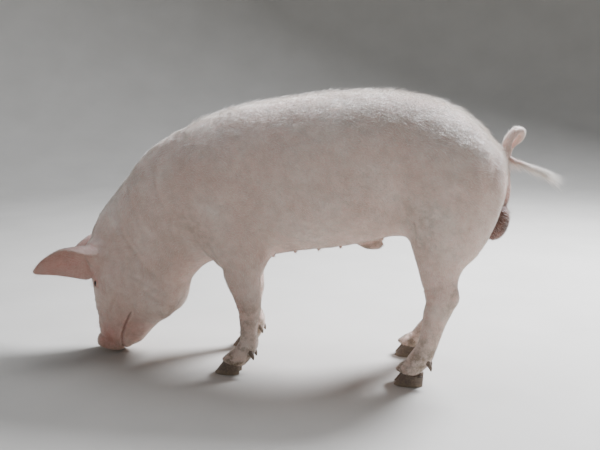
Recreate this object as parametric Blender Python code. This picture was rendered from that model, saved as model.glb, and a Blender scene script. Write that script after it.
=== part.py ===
"""A boar pig, life size, standing with its head lowered to the ground.

The frame: the head is towards -X, the boar's left side towards -Y, +Z is up and the floor is z = 0.
Every size is in metres. The tables give X from a line through the middle of the trunk, and the last
step moves the whole boar so that the middle of its box stands over the origin.
"""

import math

import bmesh
import bpy
import numpy as np
from mathutils import Matrix

GAP = 0.0003
LEFT, RIGHT = -1, 1
SIDE_NAMES = {LEFT: "left", RIGHT: "right"}

# The body is made on voxels, with the face twice as fine, and then thinned to these counts.
VOXEL = 0.0095
BODY_TRIANGLES = 3700
FACE_TRIANGLES = 1800
FACE_LIMIT = (-0.47, 0.40)

# Trunk, neck and head: dorsal point (x, z), ventral point (x, z), half width, height of the widest
# line as a share of the depth, fullness of the section (2 is an ellipse).
SPINE = (
    ((0.572, 0.722), (0.564, 0.530), 0.102, 0.50, 2.2),
    ((0.500, 0.797), (0.500, 0.480), 0.148, 0.50, 2.3),
    ((0.400, 0.857), (0.400, 0.462), 0.164, 0.48, 2.4),
    ((0.280, 0.882), (0.285, 0.440), 0.172, 0.46, 2.4),
    ((0.140, 0.877), (0.140, 0.404), 0.183, 0.45, 2.4),
    ((0.000, 0.860), (0.000, 0.383), 0.190, 0.45, 2.4),
    ((-0.130, 0.838), (-0.130, 0.362), 0.186, 0.46, 2.4),
    ((-0.259, 0.799), (-0.235, 0.330), 0.172, 0.48, 2.3),
    ((-0.400, 0.736), (-0.305, 0.310), 0.154, 0.48, 2.2),
    ((-0.516, 0.639), (-0.335, 0.298), 0.141, 0.46, 2.2),
    ((-0.604, 0.556), (-0.360, 0.275), 0.132, 0.44, 2.2),
    ((-0.672, 0.472), (-0.392, 0.235), 0.124, 0.44, 2.2),
    ((-0.697, 0.385), (-0.422, 0.190), 0.114, 0.46, 2.2),
    ((-0.690, 0.300), (-0.449, 0.137), 0.100, 0.50, 2.2),
    ((-0.692, 0.222), (-0.485, 0.094), 0.078, 0.50, 2.3),
    ((-0.697, 0.150), (-0.522, 0.064), 0.060, 0.48, 2.4),
    ((-0.701, 0.095), (-0.552, 0.048), 0.052, 0.48, 2.4),
    ((-0.699, 0.058), (-0.577, 0.036), 0.045, 0.48, 2.4),
)
SPINE_CAPS = (0.06, 0.010)
# The snout's disc, from the groove behind it to its face: x, z, half width, half depth.
SNOUT = (
    (-0.651, 0.056, 0.037, 0.040),
    (-0.6535, 0.044, 0.0455, 0.048),
    (-0.656, 0.030, 0.0475, 0.050),
    (-0.6585, 0.019, 0.0455, 0.0475),
)
SNOUT_CAPS = (0.006, 0.004)
NOSTRIL = (0.0165, 0.0070, 0.0095, 0.016)

# Limbs, from inside the trunk down to the coronet: x, half track, z, half depth, half width.
FORELEG = (
    (-0.165, 0.096, 0.480, 0.070, 0.050),
    (-0.152, 0.112, 0.395, 0.072, 0.056),
    (-0.160, 0.120, 0.315, 0.060, 0.048),
    (-0.149, 0.123, 0.262, 0.047, 0.042),
    (-0.139, 0.126, 0.212, 0.037, 0.037),
    (-0.140, 0.127, 0.180, 0.031, 0.031),
    (-0.141, 0.128, 0.135, 0.027, 0.027),
    (-0.141, 0.129, 0.098, 0.030, 0.031),
    (-0.161, 0.130, 0.064, 0.030, 0.035),
    (-0.192, 0.130, 0.034, 0.032, 0.037),
    (-0.210, 0.130, 0.018, 0.031, 0.036),
)
HINDLEG = (
    (0.480, 0.090, 0.580, 0.090, 0.060),
    (0.468, 0.106, 0.470, 0.098, 0.066),
    (0.449, 0.118, 0.405, 0.084, 0.056),
    (0.444, 0.122, 0.350, 0.063, 0.046),
    (0.448, 0.126, 0.300, 0.051, 0.038),
    (0.450, 0.128, 0.262, 0.046, 0.036),
    (0.437, 0.129, 0.215, 0.039, 0.031),
    (0.426, 0.130, 0.165, 0.032, 0.027),
    (0.414, 0.130, 0.120, 0.030, 0.029),
    (0.400, 0.130, 0.090, 0.033, 0.033),
    (0.375, 0.130, 0.058, 0.031, 0.035),
    (0.353, 0.130, 0.036, 0.032, 0.037),
    (0.337, 0.130, 0.018, 0.031, 0.036),
)
LIMB_CAPS = (0.10, 0.010)
# Each foot: x of the toe and of the heel on the floor, x of the dewclaws' roots.
FORE_FOOT = (-0.249, -0.165, -0.142)
HIND_FOOT = (0.317, 0.409, 0.409)
# How the right legs stand off the tables' places in X, at heights in Z. The left legs don't.
FORE_LEAN = ((0.02, -0.008), (0.06, -0.020), (0.12, -0.045), (0.30, -0.045), (0.48, 0.0))
HIND_LEAN = ((0.02, -0.012), (0.06, 0.006), (0.12, 0.008), (0.34, 0.0))
TRACK = 0.130
CORONET_FRONT, CORONET_BACK = 0.049, 0.030
# A claw's outline: share of its length from the toe, share of its width from the cleft.
CLAW_OUTLINE = (
    *((0.00, 0.34), (0.05, 0.58), (0.20, 0.85), (0.45, 1.00), (0.70, 0.98), (0.90, 0.80)),
    *((1.00, 0.48), (0.94, 0.16), (0.75, 0.02), (0.45, 0.00), (0.18, 0.05), (0.04, 0.16)),
)
# A claw's levels: share of its height, how far its front leans back, share of its width.
CLAW_LEVELS = (
    (0.00, 0.0020, 0.94),
    (0.05, 0.0000, 1.00),
    (0.35, 0.0100, 0.99),
    (0.70, 0.0210, 0.97),
    (1.00, 0.0300, 0.95),
)
CLAW_WIDTH, CLEFT = 0.033, 0.006

# Rounded masses: centre (x, half track, z), radii, tilt about the lateral axis in degrees, blend.
PAIRED_MASSES = (
    ("shoulder", (-0.240, 0.096, 0.560), (0.110, 0.082, 0.165), -14, 0.070),
    ("upper arm", (-0.175, 0.104, 0.440), (0.092, 0.070, 0.100), 24, 0.060),
    ("ham", (0.470, 0.092, 0.590), (0.148, 0.096, 0.180), 14, 0.080),
    ("jowl", (-0.486, 0.058, 0.240), (0.080, 0.066, 0.108), -30, 0.060),
    ("cheek", (-0.592, 0.060, 0.262), (0.062, 0.050, 0.085), -18, 0.040),
    ("brow", (-0.664, 0.054, 0.292), (0.026, 0.028, 0.040), -8, 0.026),
    ("hock point", (0.483, 0.128, 0.286), (0.018, 0.016, 0.030), -20, 0.022),
    ("lip", (-0.630, 0.040, 0.092), (0.038, 0.018, 0.040), -12, 0.020),
    ("ear base", (-0.658, 0.084, 0.360), (0.042, 0.034, 0.042), -20, 0.034),
)
SCROTUM = ("testicle", (0.612, 0.029, 0.487), (0.036, 0.032, 0.056), 24, 0.016)
MIDLINE_MASSES = (
    ("chin", (-0.572, 0.0, 0.066), (0.026, 0.031, 0.032), -24, 0.020),
    ("sheath", (0.224, 0.0, 0.410), (0.050, 0.020, 0.027), 10, 0.020),
    ("anus", (0.622, 0.0, 0.640), (0.016, 0.016, 0.020), 0, 0.020),
    ("perineum", (0.614, 0.0, 0.572), (0.036, 0.022, 0.064), 6, 0.030),
)
# Hollows and rises that only bend the surface: centre (x, half track, z), reach, height.
SWELLS = (
    ((0.335, 0.165, 0.560), (0.070, 0.080, 0.110), -0.016),
    ((-0.090, 0.175, 0.500), (0.045, 0.070, 0.120), -0.010),
    ((-0.360, 0.130, 0.520), (0.050, 0.070, 0.130), -0.009),
    ((0.080, 0.190, 0.520), (0.150, 0.080, 0.110), 0.007),
)

# The eye: centre (x, half track, z), radius, the way it looks, lid thickness, half opening.
EYE_CENTRE = (-0.655, 0.0765, 0.262)
EYE_RADIUS, LID_THICKNESS = 0.0125, 0.0022
EYE_LOOK = (-0.36, 0.92, -0.10)
EYE_OPENING = (0.0120, 0.0062)

# The ear: way along it from the root, and the way its cup faces. Stations: share of the length,
# half width, half angle of the cup's arc in degrees, thickness, bend towards the facing side.
EAR_ROOT = (-0.650, 0.070, 0.364)
EAR_TIP = (-0.860, 0.130, 0.302)
EAR_FACING = (-0.10, 0.84, -0.52)
EAR = (
    (0.00, 0.033, 140, 0.0080, 0.000),
    (0.12, 0.045, 122, 0.0075, 0.002),
    (0.25, 0.059, 96, 0.0065, 0.004),
    (0.38, 0.066, 76, 0.0055, 0.004),
    (0.52, 0.062, 62, 0.0050, 0.002),
    (0.66, 0.051, 52, 0.0045, 0.002),
    (0.79, 0.037, 46, 0.0042, 0.004),
    (0.90, 0.023, 42, 0.0040, 0.008),
    (0.97, 0.012, 40, 0.0036, 0.011),
    (1.00, 0.005, 36, 0.0030, 0.012),
)

# The tail's curve: x, y, z and radius.
TAIL = (
    (0.575, 0.000, 0.666, 0.0170),
    (0.604, -0.001, 0.672, 0.0160),
    (0.621, -0.004, 0.687, 0.0150),
    (0.628, -0.008, 0.707, 0.0143),
    (0.631, -0.010, 0.729, 0.0137),
    (0.641, -0.009, 0.751, 0.0130),
    (0.657, -0.003, 0.767, 0.0119),
    (0.673, 0.006, 0.762, 0.0108),
    (0.669, 0.015, 0.743, 0.0100),
    (0.652, 0.019, 0.727, 0.0094),
    (0.641, 0.020, 0.708, 0.0088),
    (0.639, 0.019, 0.689, 0.0082),
    (0.651, 0.016, 0.676, 0.0074),
    (0.674, 0.012, 0.668, 0.0066),
    (0.705, 0.008, 0.657, 0.0058),
    (0.733, 0.004, 0.647, 0.0051),
)
TAIL_STATIONS, TAIL_CUTS = 40, (14, 27)
TUFT_LOCKS, TUFT_LENGTH, TUFT_SEED = 11, 0.092, 7

# Two rows of teats: x of each pair, half track, size.
TEATS = (-0.080, -0.005, 0.070, 0.140, 0.275)
TEAT_TRACK, TEAT_RADIUS, TEAT_HEIGHT = 0.062, 0.0048, 0.0062

# Thin cuts through the whole body: middle (x, z), half length of the cut, half breadth, and the
# slope in degrees from level, rising towards +X.
CUTS = {
    "neck": ((-0.345, 0.540), 0.32, 0.25, 101),
    "head": ((-0.548, 0.352), 0.24, 0.20, -36),
    "snout": ((-0.6755, 0.0570), 0.0778, 0.10, 3),
    "rump": ((0.350, 0.660), 0.30, 0.25, 85),
    "elbow": ((-0.150, 0.322), 0.12, 0.20, 20),
    "knee": ((-0.145, 0.236), 0.09, 0.20, 0),
    "stifle": ((0.455, 0.410), 0.14, 0.20, -3),
    "hock": ((0.455, 0.322), 0.10, 0.20, 12),
}
# The mouth, from below the chin to its corner: x, z and the width of the slit.
MOUTH = (
    (-0.6020, 0.005, 0.0020),
    (-0.6010, 0.045, 0.0020),
    (-0.5930, 0.080, 0.0018),
    (-0.5780, 0.115, 0.0016),
    (-0.5580, 0.148, 0.0014),
    (-0.5380, 0.172, 0.0012),
)
# Where the middle of each piece of flesh lies once the cuts are made: x, half track, z.
PIECES = {
    "torso": (0.000, 0, 0.620),
    "rump": (0.460, 0, 0.640),
    "neck": (-0.500, 0, 0.450),
    "head": (-0.600, 0, 0.230),
    "snout": (-0.655, 0, 0.035),
    "forearm": (-0.150, 0.122, 0.280),
    "fore_cannon": (-0.145, 0.128, 0.150),
    "gaskin": (0.455, 0.120, 0.365),
    "hind_cannon": (0.430, 0.129, 0.190),
}


def smooth_rows(rows, per_span):
    """Rows of numbers, with more rows between them on one smooth curve through all of them."""
    rows = np.array(rows, float)
    ends = np.vstack([2 * rows[0] - rows[1], rows, 2 * rows[-1] - rows[-2]])
    steps = np.arange(per_span)[:, None] / per_span
    spans = []
    for before, start, end, after in zip(ends, ends[1:], ends[2:], ends[3:]):
        slope = end - before
        bend = 2 * before - 5 * start + 4 * end - after
        twist = 3 * (start - end) + after - before
        spans.append(start + 0.5 * (slope * steps + bend * steps**2 + twist * steps**3))
    return np.vstack([*spans, rows[-1:]])


def unit(vectors):
    return vectors / np.linalg.norm(vectors, axis=-1, keepdims=True)


class Loft:
    """A smooth tube through stations: centre, half width, half height up and down, and fullness.

    Across the tube, the side axis stays as close to +Y as it can, and up is dorsal on the trunk and
    forward on a leg.
    """

    def __init__(self, stations, caps, blend, per_span=6):
        rows = smooth_rows(stations, per_span)
        self.centre, self.size = rows[:, :3], rows[:, 3:]
        self.caps, self.blend = caps, blend
        self.along = unit(np.gradient(self.centre, axis=0))
        side = np.array([0.0, 1.0, 0.0])
        self.side = unit(side - (self.along @ side)[:, None] * self.along)
        self.up = np.cross(self.side, self.along)
        reach = self.size[:, :3].max() + max(caps) + blend + 0.02
        self.low = self.centre.min(axis=0) - reach
        self.high = self.centre.max(axis=0) + reach

    def distance(self, points):
        """About how far each point is outside the tube, and negative inside it."""
        start, step = self.centre[:-1], np.diff(self.centre, axis=0)
        length2 = (step**2).sum(axis=1)
        share = (points @ step.T - (start * step).sum(axis=1)) / length2
        share = np.clip(share, 0, 1)
        gap2 = np.zeros_like(share)
        for axis in range(3):
            gap2 += (points[:, axis, None] - start[:, axis] - share * step[:, axis]) ** 2
        span = gap2.argmin(axis=1)
        part = share[np.arange(len(points)), span][:, None]

        def mixed(table):
            return table[span] * (1 - part) + table[span + 1] * part

        offset = points - mixed(self.centre)
        across = (offset * mixed(self.side)).sum(axis=1)
        rise = (offset * mixed(self.up)).sum(axis=1)
        past = (offset * mixed(self.along)).sum(axis=1)
        ahead = (span == 0) & (past < 0)
        behind = (span == len(step) - 1) & (past > 0)
        past = np.where(ahead, past / self.caps[0], np.where(behind, past / self.caps[1], 0))
        wide, high, low, fullness = mixed(self.size).T
        tall = np.where(rise > 0, high, low)
        radius = np.linalg.norm(offset, axis=1) + 1e-9
        ratio = np.abs(across / wide) ** fullness + np.abs(rise / tall) ** fullness
        ratio = (ratio + np.abs(past) ** fullness) ** (1 / fullness) + 1e-9
        return radius - radius / ratio

    def shell(self, sides=20, domes=(0.5, 0.87)):
        """The tube as points and faces, with a rounded cap at each end."""
        rings = []
        angles = np.arange(sides) * 2 * math.pi / sides
        count = len(self.centre)
        order = [(0, -d, self.caps[0]) for d in reversed(domes)]
        order += [(i, 0.0, 0.0) for i in range(count)]
        order += [(count - 1, d, self.caps[1]) for d in domes]
        for i, dome, cap in order:
            wide, high, low, fullness = self.size[i]
            shrink = math.sqrt(1 - dome * dome)
            cosine, sine = np.cos(angles), np.sin(angles)
            tall = np.where(sine > 0, high, low)
            ratio = np.abs(cosine / wide) ** fullness + np.abs(sine / tall) ** fullness
            reach = ratio ** (-1 / fullness)
            ring = self.centre[i] + cap * dome * self.along[i]
            ring = ring + (shrink * reach * cosine)[:, None] * self.side[i]
            rings.append(ring + (shrink * reach * sine)[:, None] * self.up[i])
        tips = [
            self.centre[0] - self.caps[0] * self.along[0],
            self.centre[-1] + self.caps[1] * self.along[-1],
        ]
        return closed_rings(rings, tips)


class Mass:
    """A rounded mass with three radii, tilted about the lateral axis."""

    def __init__(self, centre, radii, tilt, blend):
        self.centre, self.radii, self.blend = np.array(centre), np.array(radii), blend
        turn = math.radians(tilt)
        self.turn = np.array(Matrix.Rotation(turn, 3, "Y"))
        reach = self.radii.max() + blend + 0.02
        self.low, self.high = self.centre - reach, self.centre + reach

    def distance(self, points):
        local = (points - self.centre) @ self.turn
        near = np.linalg.norm(local / self.radii, axis=1) + 1e-9
        slope = np.linalg.norm(local / self.radii**2, axis=1) + 1e-9
        return near * (near - 1) / slope

    def shell(self, rings=9, sides=16):
        rows, angles = [], np.arange(sides) * 2 * math.pi / sides
        for latitude in np.linspace(0, math.pi, rings + 2)[1:-1]:
            flat, level = math.sin(latitude), np.full(sides, -math.cos(latitude))
            ring = np.stack([flat * np.cos(angles), flat * np.sin(angles), level], axis=1)
            rows.append((ring * self.radii) @ self.turn.T + self.centre)
        pole = np.array([0, 0, self.radii[2]]) @ self.turn.T
        return closed_rings(rows, [self.centre - pole, self.centre + pole])


def closed_rings(rings, tips):
    """Points and faces of a closed shell over equal rings, with a point at each end."""
    sides, points = len(rings[0]), np.vstack([*rings, tips])
    faces = []
    for i in range(len(rings) - 1):
        for j in range(sides):
            k = (j + 1) % sides
            faces.append((i * sides + j, i * sides + k, (i + 1) * sides + k, (i + 1) * sides + j))
    first, last = len(points) - 2, len(points) - 1
    top = (len(rings) - 1) * sides
    for j in range(sides):
        k = (j + 1) % sides
        faces.append((first, k, j))
        faces.append((last, top + j, top + k))
    return points, faces


def spine_stations():
    """The spine's table as loft stations, each centred on its widest line."""
    rows = []
    for dorsal, ventral, half_width, widest, fullness in SPINE:
        top, bottom = np.array([dorsal[0], 0, dorsal[1]]), np.array([ventral[0], 0, ventral[1]])
        centre = bottom + (top - bottom) * widest
        depth = np.linalg.norm(top - bottom)
        rows.append([*centre, half_width, depth * (1 - widest), depth * widest, fullness])
    return rows


def lean_at(lean, side, z):
    """How far a limb is off its table's place at one height."""
    heights, shifts = zip(*lean)
    return float(np.interp(z, heights, shifts)) if side == RIGHT else 0.0


def limb_stations(table, side, lean):
    """A limb's table as loft stations."""
    rows = []
    for x, track, z, depth, width in table:
        rows.append([x + lean_at(lean, side, z), side * track, z, width, depth, depth, 2.1])
    return rows


def body_parts():
    """Everything that the boar's outline is blended from."""
    parts = [Loft(spine_stations(), SPINE_CAPS, 0.0)]
    disc = [(x, 0, z, wide, deep, deep, 2.3) for x, z, wide, deep in SNOUT]
    parts.append(Loft(disc, SNOUT_CAPS, 0.006))
    for side in (LEFT, RIGHT):
        parts.append(Loft(limb_stations(FORELEG, side, FORE_LEAN), LIMB_CAPS, 0.045))
        parts.append(Loft(limb_stations(HINDLEG, side, HIND_LEAN), LIMB_CAPS, 0.045))
        for _, (x, track, z), radii, tilt, blend in PAIRED_MASSES:
            parts.append(Mass((x, side * track, z), radii, tilt, blend))
    for _, centre, radii, tilt, blend in MIDLINE_MASSES:
        parts.append(Mass(centre, radii, tilt, blend))
    return parts


def blended(parts, points):
    """About how far each point is outside the blended body."""
    found = np.full(len(points), 1.0)
    for part in parts:
        near = np.flatnonzero(((points > part.low) & (points < part.high)).all(axis=1))
        if not len(near):
            continue
        here, there = part.distance(points[near]), found[near]
        width = max(part.blend, 1e-6)
        overlap = np.clip(width - np.abs(here - there), 0, None) / width
        found[near] = np.minimum(here, there) - overlap**2 * width / 4
    for (x, track, z), reach, height in SWELLS:
        for side in (LEFT, RIGHT):
            off = (points - np.array([x, side * track, z])) / np.array(reach)
            found -= height * np.exp(-(off**2).sum(axis=1))
    return found


def settle(parts, points, rounds=6, probe=0.0008, longest=0.012):
    """The points moved along the slope of the blend until they lie on its surface."""
    points = points.copy()
    for i in range(rounds):
        here = blended(parts, points)
        if i % 3 == 0:
            ahead = [blended(parts, points + step) for step in np.eye(3) * probe]
            slope = (np.stack(ahead, axis=1) - here[:, None]) / probe
        move = here[:, None] * slope / ((slope**2).sum(axis=1)[:, None] + 1e-6)
        size = np.linalg.norm(move, axis=1)[:, None] + 1e-9
        points -= move * np.minimum(1, longest / size)
    return points


def new_object(name, mesh):
    thing = bpy.data.objects.new(name, mesh)
    bpy.context.scene.collection.objects.link(thing)
    return thing


def object_from(name, points, faces):
    mesh = bpy.data.meshes.new(name)
    mesh.from_pydata([tuple(p) for p in points], [], faces)
    shape = bmesh.new()
    shape.from_mesh(mesh)
    bmesh.ops.recalc_face_normals(shape, faces=shape.faces)
    bmesh.ops.triangulate(shape, faces=shape.faces)
    shape.to_mesh(mesh)
    shape.free()
    return new_object(name, mesh)


def points_of(thing):
    found = np.empty(len(thing.data.vertices) * 3)
    thing.data.vertices.foreach_get("co", found)
    return found.reshape(-1, 3)


def apply_modifiers(thing):
    """The object's mesh as its modifiers make it."""
    graph = bpy.context.evaluated_depsgraph_get()
    made = bpy.data.meshes.new_from_object(thing.evaluated_get(graph))
    thing.modifiers.clear()
    thing.data = made
    return thing


def remove(thing):
    bpy.data.objects.remove(thing)


def joined(name, shells):
    """Several shells in one mesh object, not yet united."""
    points, faces, count = [], [], 0
    for shell_points, shell_faces in shells:
        points.append(shell_points)
        faces += [tuple(i + count for i in face) for face in shell_faces]
        count += len(shell_points)
    return object_from(name, np.vstack(points), faces)


def add_modifier(thing, kind, **settings):
    modifier = thing.modifiers.new(kind.lower(), kind)
    for name, value in settings.items():
        setattr(modifier, name, value)
    return modifier


def settled(thing, parts, rounds):
    points = settle(parts, points_of(thing), rounds)
    thing.data.vertices.foreach_set("co", points.ravel())
    thing.data.update()


def finer_face(thing):
    """Every face of the head's front cut in four."""
    shape = bmesh.new()
    shape.from_mesh(thing.data)
    chosen = set()
    for face in shape.faces:
        middle = face.calc_center_median()
        if middle.x < FACE_LIMIT[0] and middle.z < FACE_LIMIT[1]:
            chosen.update(face.edges)
    bmesh.ops.subdivide_edges(shape, edges=list(chosen), cuts=1, use_grid_fill=True)
    bmesh.ops.triangulate(shape, faces=shape.faces)
    shape.to_mesh(thing.data)
    shape.free()


def thinned(thing, keep_face, keep_body):
    """The fine mesh thinned to these counts: the body first, and then the front of the head."""
    group = thing.vertex_groups.new(name="face")
    points = points_of(thing)
    front = (points[:, 0] < FACE_LIMIT[0]) & (points[:, 2] < FACE_LIMIT[1])
    group.add(np.flatnonzero(front).tolist(), 1.0, "REPLACE")
    corners = np.empty(len(thing.data.polygons) * 3, int)
    thing.data.polygons.foreach_get("vertices", corners)
    face_count = int(front[corners.reshape(-1, 3)].all(axis=1).sum())
    whole = len(thing.data.polygons)
    first = (face_count + keep_body) / whole
    second = (keep_face + keep_body) / (face_count + keep_body)
    for ratio, invert in ((first, True), (second, False)):
        add_modifier(
            thing, "DECIMATE", ratio=ratio, vertex_group="face", invert_vertex_group=invert
        )
    apply_modifiers(thing)
    thing.vertex_groups.clear()


def blended_mesh(name, parts, voxel):
    """One skin over all the parts: united on voxels, then settled on the blend."""
    thing = joined(name, [part.shell() for part in parts])
    add_modifier(thing, "REMESH", mode="VOXEL", voxel_size=voxel)
    apply_modifiers(thing)
    settled(thing, parts, 5)
    add_modifier(thing, "SMOOTH", factor=0.5, iterations=2)
    apply_modifiers(thing)
    settled(thing, parts, 2)
    return thing


def whole_body(parts):
    body = blended_mesh("body", parts, VOXEL)
    finer_face(body)
    add_modifier(body, "SMOOTH", factor=0.5, iterations=1)
    apply_modifiers(body)
    settled(body, parts, 3)
    thinned(body, FACE_TRIANGLES, BODY_TRIANGLES)
    return body


def boolean(thing, others, operation):
    """One Boolean with all the others, which are then removed."""
    group = bpy.data.collections.new("operands")
    bpy.context.scene.collection.children.link(group)
    for other in others:
        bpy.context.scene.collection.objects.unlink(other)
        group.objects.link(other)
    made = add_modifier(thing, "BOOLEAN", operation=operation, solver="MANIFOLD")
    made.operand_type = "COLLECTION"
    made.collection = group
    apply_modifiers(thing)
    for other in others:
        remove(other)
    bpy.data.collections.remove(group)
    return thing


def loose_pieces(thing):
    """The object's separate surfaces, each as points and faces, the largest first."""
    shape = bmesh.new()
    shape.from_mesh(thing.data)
    bmesh.ops.triangulate(shape, faces=shape.faces)
    seen, pieces = set(), []
    for start in shape.verts:
        if start in seen:
            continue
        seen.add(start)
        found, ahead = [start], [start]
        while ahead:
            for edge in ahead.pop().link_edges:
                for vertex in edge.verts:
                    if vertex not in seen:
                        seen.add(vertex)
                        found.append(vertex)
                        ahead.append(vertex)
        if len(found) < 8:
            continue
        place = {vertex: i for i, vertex in enumerate(found)}
        faces = {face for vertex in found for face in vertex.link_faces}
        faces = [tuple(place[v] for v in face.verts) for face in faces]
        pieces.append((np.array([v.co[:] for v in found]), sorted(faces)))
    shape.free()
    return sorted(pieces, key=lambda piece: -np.ptp(piece[0], axis=0).prod())


def keep_largest(thing):
    points, faces = loose_pieces(thing)[0]
    mesh = bpy.data.meshes.new(thing.name)
    mesh.from_pydata([tuple(p) for p in points], [], faces)
    mesh.update()
    thing.data = mesh
    return thing


def grown(thing, by):
    """A copy of the object with its surface moved outwards."""
    copy = new_object(thing.name + "_seat", thing.data.copy())
    normals = np.array([v.normal[:] for v in copy.data.vertices])
    copy.data.vertices.foreach_set("co", (points_of(copy) + by * normals).ravel())
    copy.data.update()
    return copy


def slab(centre, half_length, half_breadth, slope):
    """A thin flat cutter across the body. The slope is in degrees, rising towards +X."""
    half = np.array([half_length, half_breadth, GAP / 2])
    corners = np.array([[i, j, k] for i in (-1, 1) for j in (-1, 1) for k in (-1, 1)]) * half
    turn = np.array(Matrix.Rotation(-math.radians(slope), 3, "Y"))
    points = corners @ turn.T + np.array([centre[0], 0, centre[1]])
    faces = [(0, 1, 3, 2), (4, 6, 7, 5), (0, 4, 5, 1), (2, 3, 7, 6), (0, 2, 6, 4), (1, 5, 7, 3)]
    return object_from("cut", points, faces)


def prism(name, outline, axis, start, stop, origin=(0, 0, 0), across=((1, 0, 0), (0, 0, 1))):
    """A closed prism: a flat outline given in two axes, from start to stop along the third."""
    first, second = across
    base = np.array([np.array(first) * u + np.array(second) * v for u, v in outline]) + origin
    count = len(outline)
    points = np.vstack([base + np.array(axis) * start, base + np.array(axis) * stop])
    faces = [tuple(reversed(range(count))), tuple(range(count, 2 * count))]
    for i in range(count):
        k = (i + 1) % count
        faces.append((i, k, count + k, count + i))
    return object_from(name, points, faces)


def mouth_slit():
    line = np.array(MOUTH)
    along = unit(np.gradient(line[:, :2], axis=0))
    beside = np.stack([-along[:, 1], along[:, 0]], axis=1) * line[:, 2:] / 2
    outline = np.vstack([line[:, :2] + beside, (line[:, :2] - beside)[::-1]])
    return prism("mouth", outline, (0, 1, 0), -0.12, 0.12)


def coronet_height(foot, x):
    """The height of the sloped line where the claws meet the leg."""
    toe, heel, _ = foot
    return CORONET_FRONT + (CORONET_BACK - CORONET_FRONT) * (x - toe) / (heel - toe)


def below_coronet(foot, side, shift):
    """What is cut off a leg under its coronet."""
    toe, heel, _ = foot
    outline = []
    for x in (toe - 0.06, heel + 0.06):
        outline.append((x + shift, coronet_height(foot, x)))
    outline += [(heel + 0.06 + shift, -0.05), (toe - 0.06 + shift, -0.05)]
    middle = side * TRACK
    return prism("under", outline, (0, 1, 0), middle - 0.07, middle + 0.07)


def claw(name, foot, side, shift, inner):
    """One half of a hoof, with a flat sole and a sloped top just under the coronet."""
    toe, heel, _ = foot
    outward = -side if inner else side
    rings = []
    for height, toe_back, width in CLAW_LEVELS:
        ring = []
        for u, v in CLAW_OUTLINE:
            front = toe + toe_back
            back = heel - 0.004 * (1 - height) - 0.002 * height
            x = front + (back - front) * u
            splay = 0.0022 * (1 - u)
            off = CLEFT / 2 + splay + CLAW_WIDTH * (0.5 + (v - 0.5) * width)
            y = side * TRACK + outward * off
            z = height * (coronet_height(foot, x) - GAP)
            ring.append((x + shift, y, z))
        rings.append(np.array(ring))
    return object_from(name, *closed_rings(rings, [rings[0].mean(axis=0), rings[-1].mean(axis=0)]))


def dewclaw(name, foot, side, shift, inner):
    """A small claw behind the pastern, pointing down and back."""
    outward = -side if inner else side
    root = foot[2] + shift
    y = side * TRACK + outward * 0.016
    rows = (
        (root - 0.002, y, 0.092, 0.0085),
        (root + 0.006, y + outward * 0.002, 0.082, 0.0098),
        (root + 0.013, y + outward * 0.004, 0.071, 0.0092),
        (root + 0.018, y + outward * 0.005, 0.061, 0.0068),
        (root + 0.020, y + outward * 0.005, 0.052, 0.0032),
    )
    stations = [(x, side_y, z, r, r * 0.8, r * 0.8, 2.2) for x, side_y, z, r in rows]
    points, faces = Loft(stations, (0.004, 0.0016), 0.0, 1).shell(8, (0.6,))
    return object_from(name, points, faces)


def eye_frame(parts, side):
    """The eyeball's middle under the skin, the way it looks, and the opening's long and short axes."""
    look = unit(np.array(EYE_LOOK) * (1, side, 1))
    skin = settle(parts, np.array([np.array(EYE_CENTRE) * (1, side, 1)]))[0]
    long = np.array([0.22, 0.0, 0.97])
    long = unit(long - (long @ look) * look)
    return skin - look * 0.0082, look, long, np.cross(look, long)


def ball(name, centre, axes, radii, rings=7, sides=14):
    """An ellipsoid with its poles along the last axis."""
    rows, angles = [], np.arange(sides) * 2 * math.pi / sides
    axes, radii = np.array(axes), np.array(radii)
    for latitude in np.linspace(0, math.pi, rings + 2)[1:-1]:
        flat, level = math.sin(latitude), np.full(sides, -math.cos(latitude))
        around = np.stack([flat * np.cos(angles), flat * np.sin(angles), level], axis=1)
        rows.append((around * radii) @ axes + centre)
    pole = radii[2] * axes[2]
    return object_from(name, *closed_rings(rows, [centre - pole, centre + pole]))


def almond():
    """The outline of the opening between the lids."""
    wide, high = EYE_OPENING
    outline = []
    for i in range(24):
        turn = 2 * math.pi * i / 24
        outline.append((wide * math.cos(turn), high * math.sin(turn) * abs(math.sin(turn)) ** 0.35))
    return outline


def ear_rings(side):
    """Rings of the ear's cupped blade, from its root in the head to its tip."""
    root, tip = (np.array(place) * (1, side, 1) for place in (EAR_ROOT, EAR_TIP))
    along = unit(tip - root)
    facing = np.array(EAR_FACING) * (1, side, 1)
    facing = unit(facing - (facing @ along) * along)
    beside = np.cross(along, facing)
    rings = []
    for share, half_width, half_angle, thickness, bend in smooth_rows(EAR, 2):
        arc = math.radians(half_angle)
        radius = half_width / math.sin(min(arc, math.pi / 2))
        centre = root + (tip - root) * share + facing * bend
        outer, inner = [], []
        for turn in np.linspace(-arc, arc, 10):
            edge = 1 - 0.45 * abs(turn / arc) ** 4
            reach = math.sin(turn) * beside - math.cos(turn) * facing
            middle = centre + radius * (reach + 0.7 * facing)
            outer.append(middle + 0.5 * thickness * edge * reach)
            inner.append(middle - 0.5 * thickness * edge * reach)
        rings.append(np.array(outer + inner[::-1]))
    return rings


def ear(name, side):
    """The ear's blade as one closed solid."""
    rings = ear_rings(side)
    sides, half = len(rings[0]), len(rings[0]) // 2
    points, faces = np.vstack(rings), []
    for i in range(len(rings) - 1):
        for j in range(sides):
            k = (j + 1) % sides
            faces.append((i * sides + j, i * sides + k, (i + 1) * sides + k, (i + 1) * sides + j))
    for base in (0, (len(rings) - 1) * sides):
        for j in range(half - 1):
            faces.append((base + j, base + j + 1, base + sides - 2 - j, base + sides - 1 - j))
    return object_from(name, points, faces)


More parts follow.
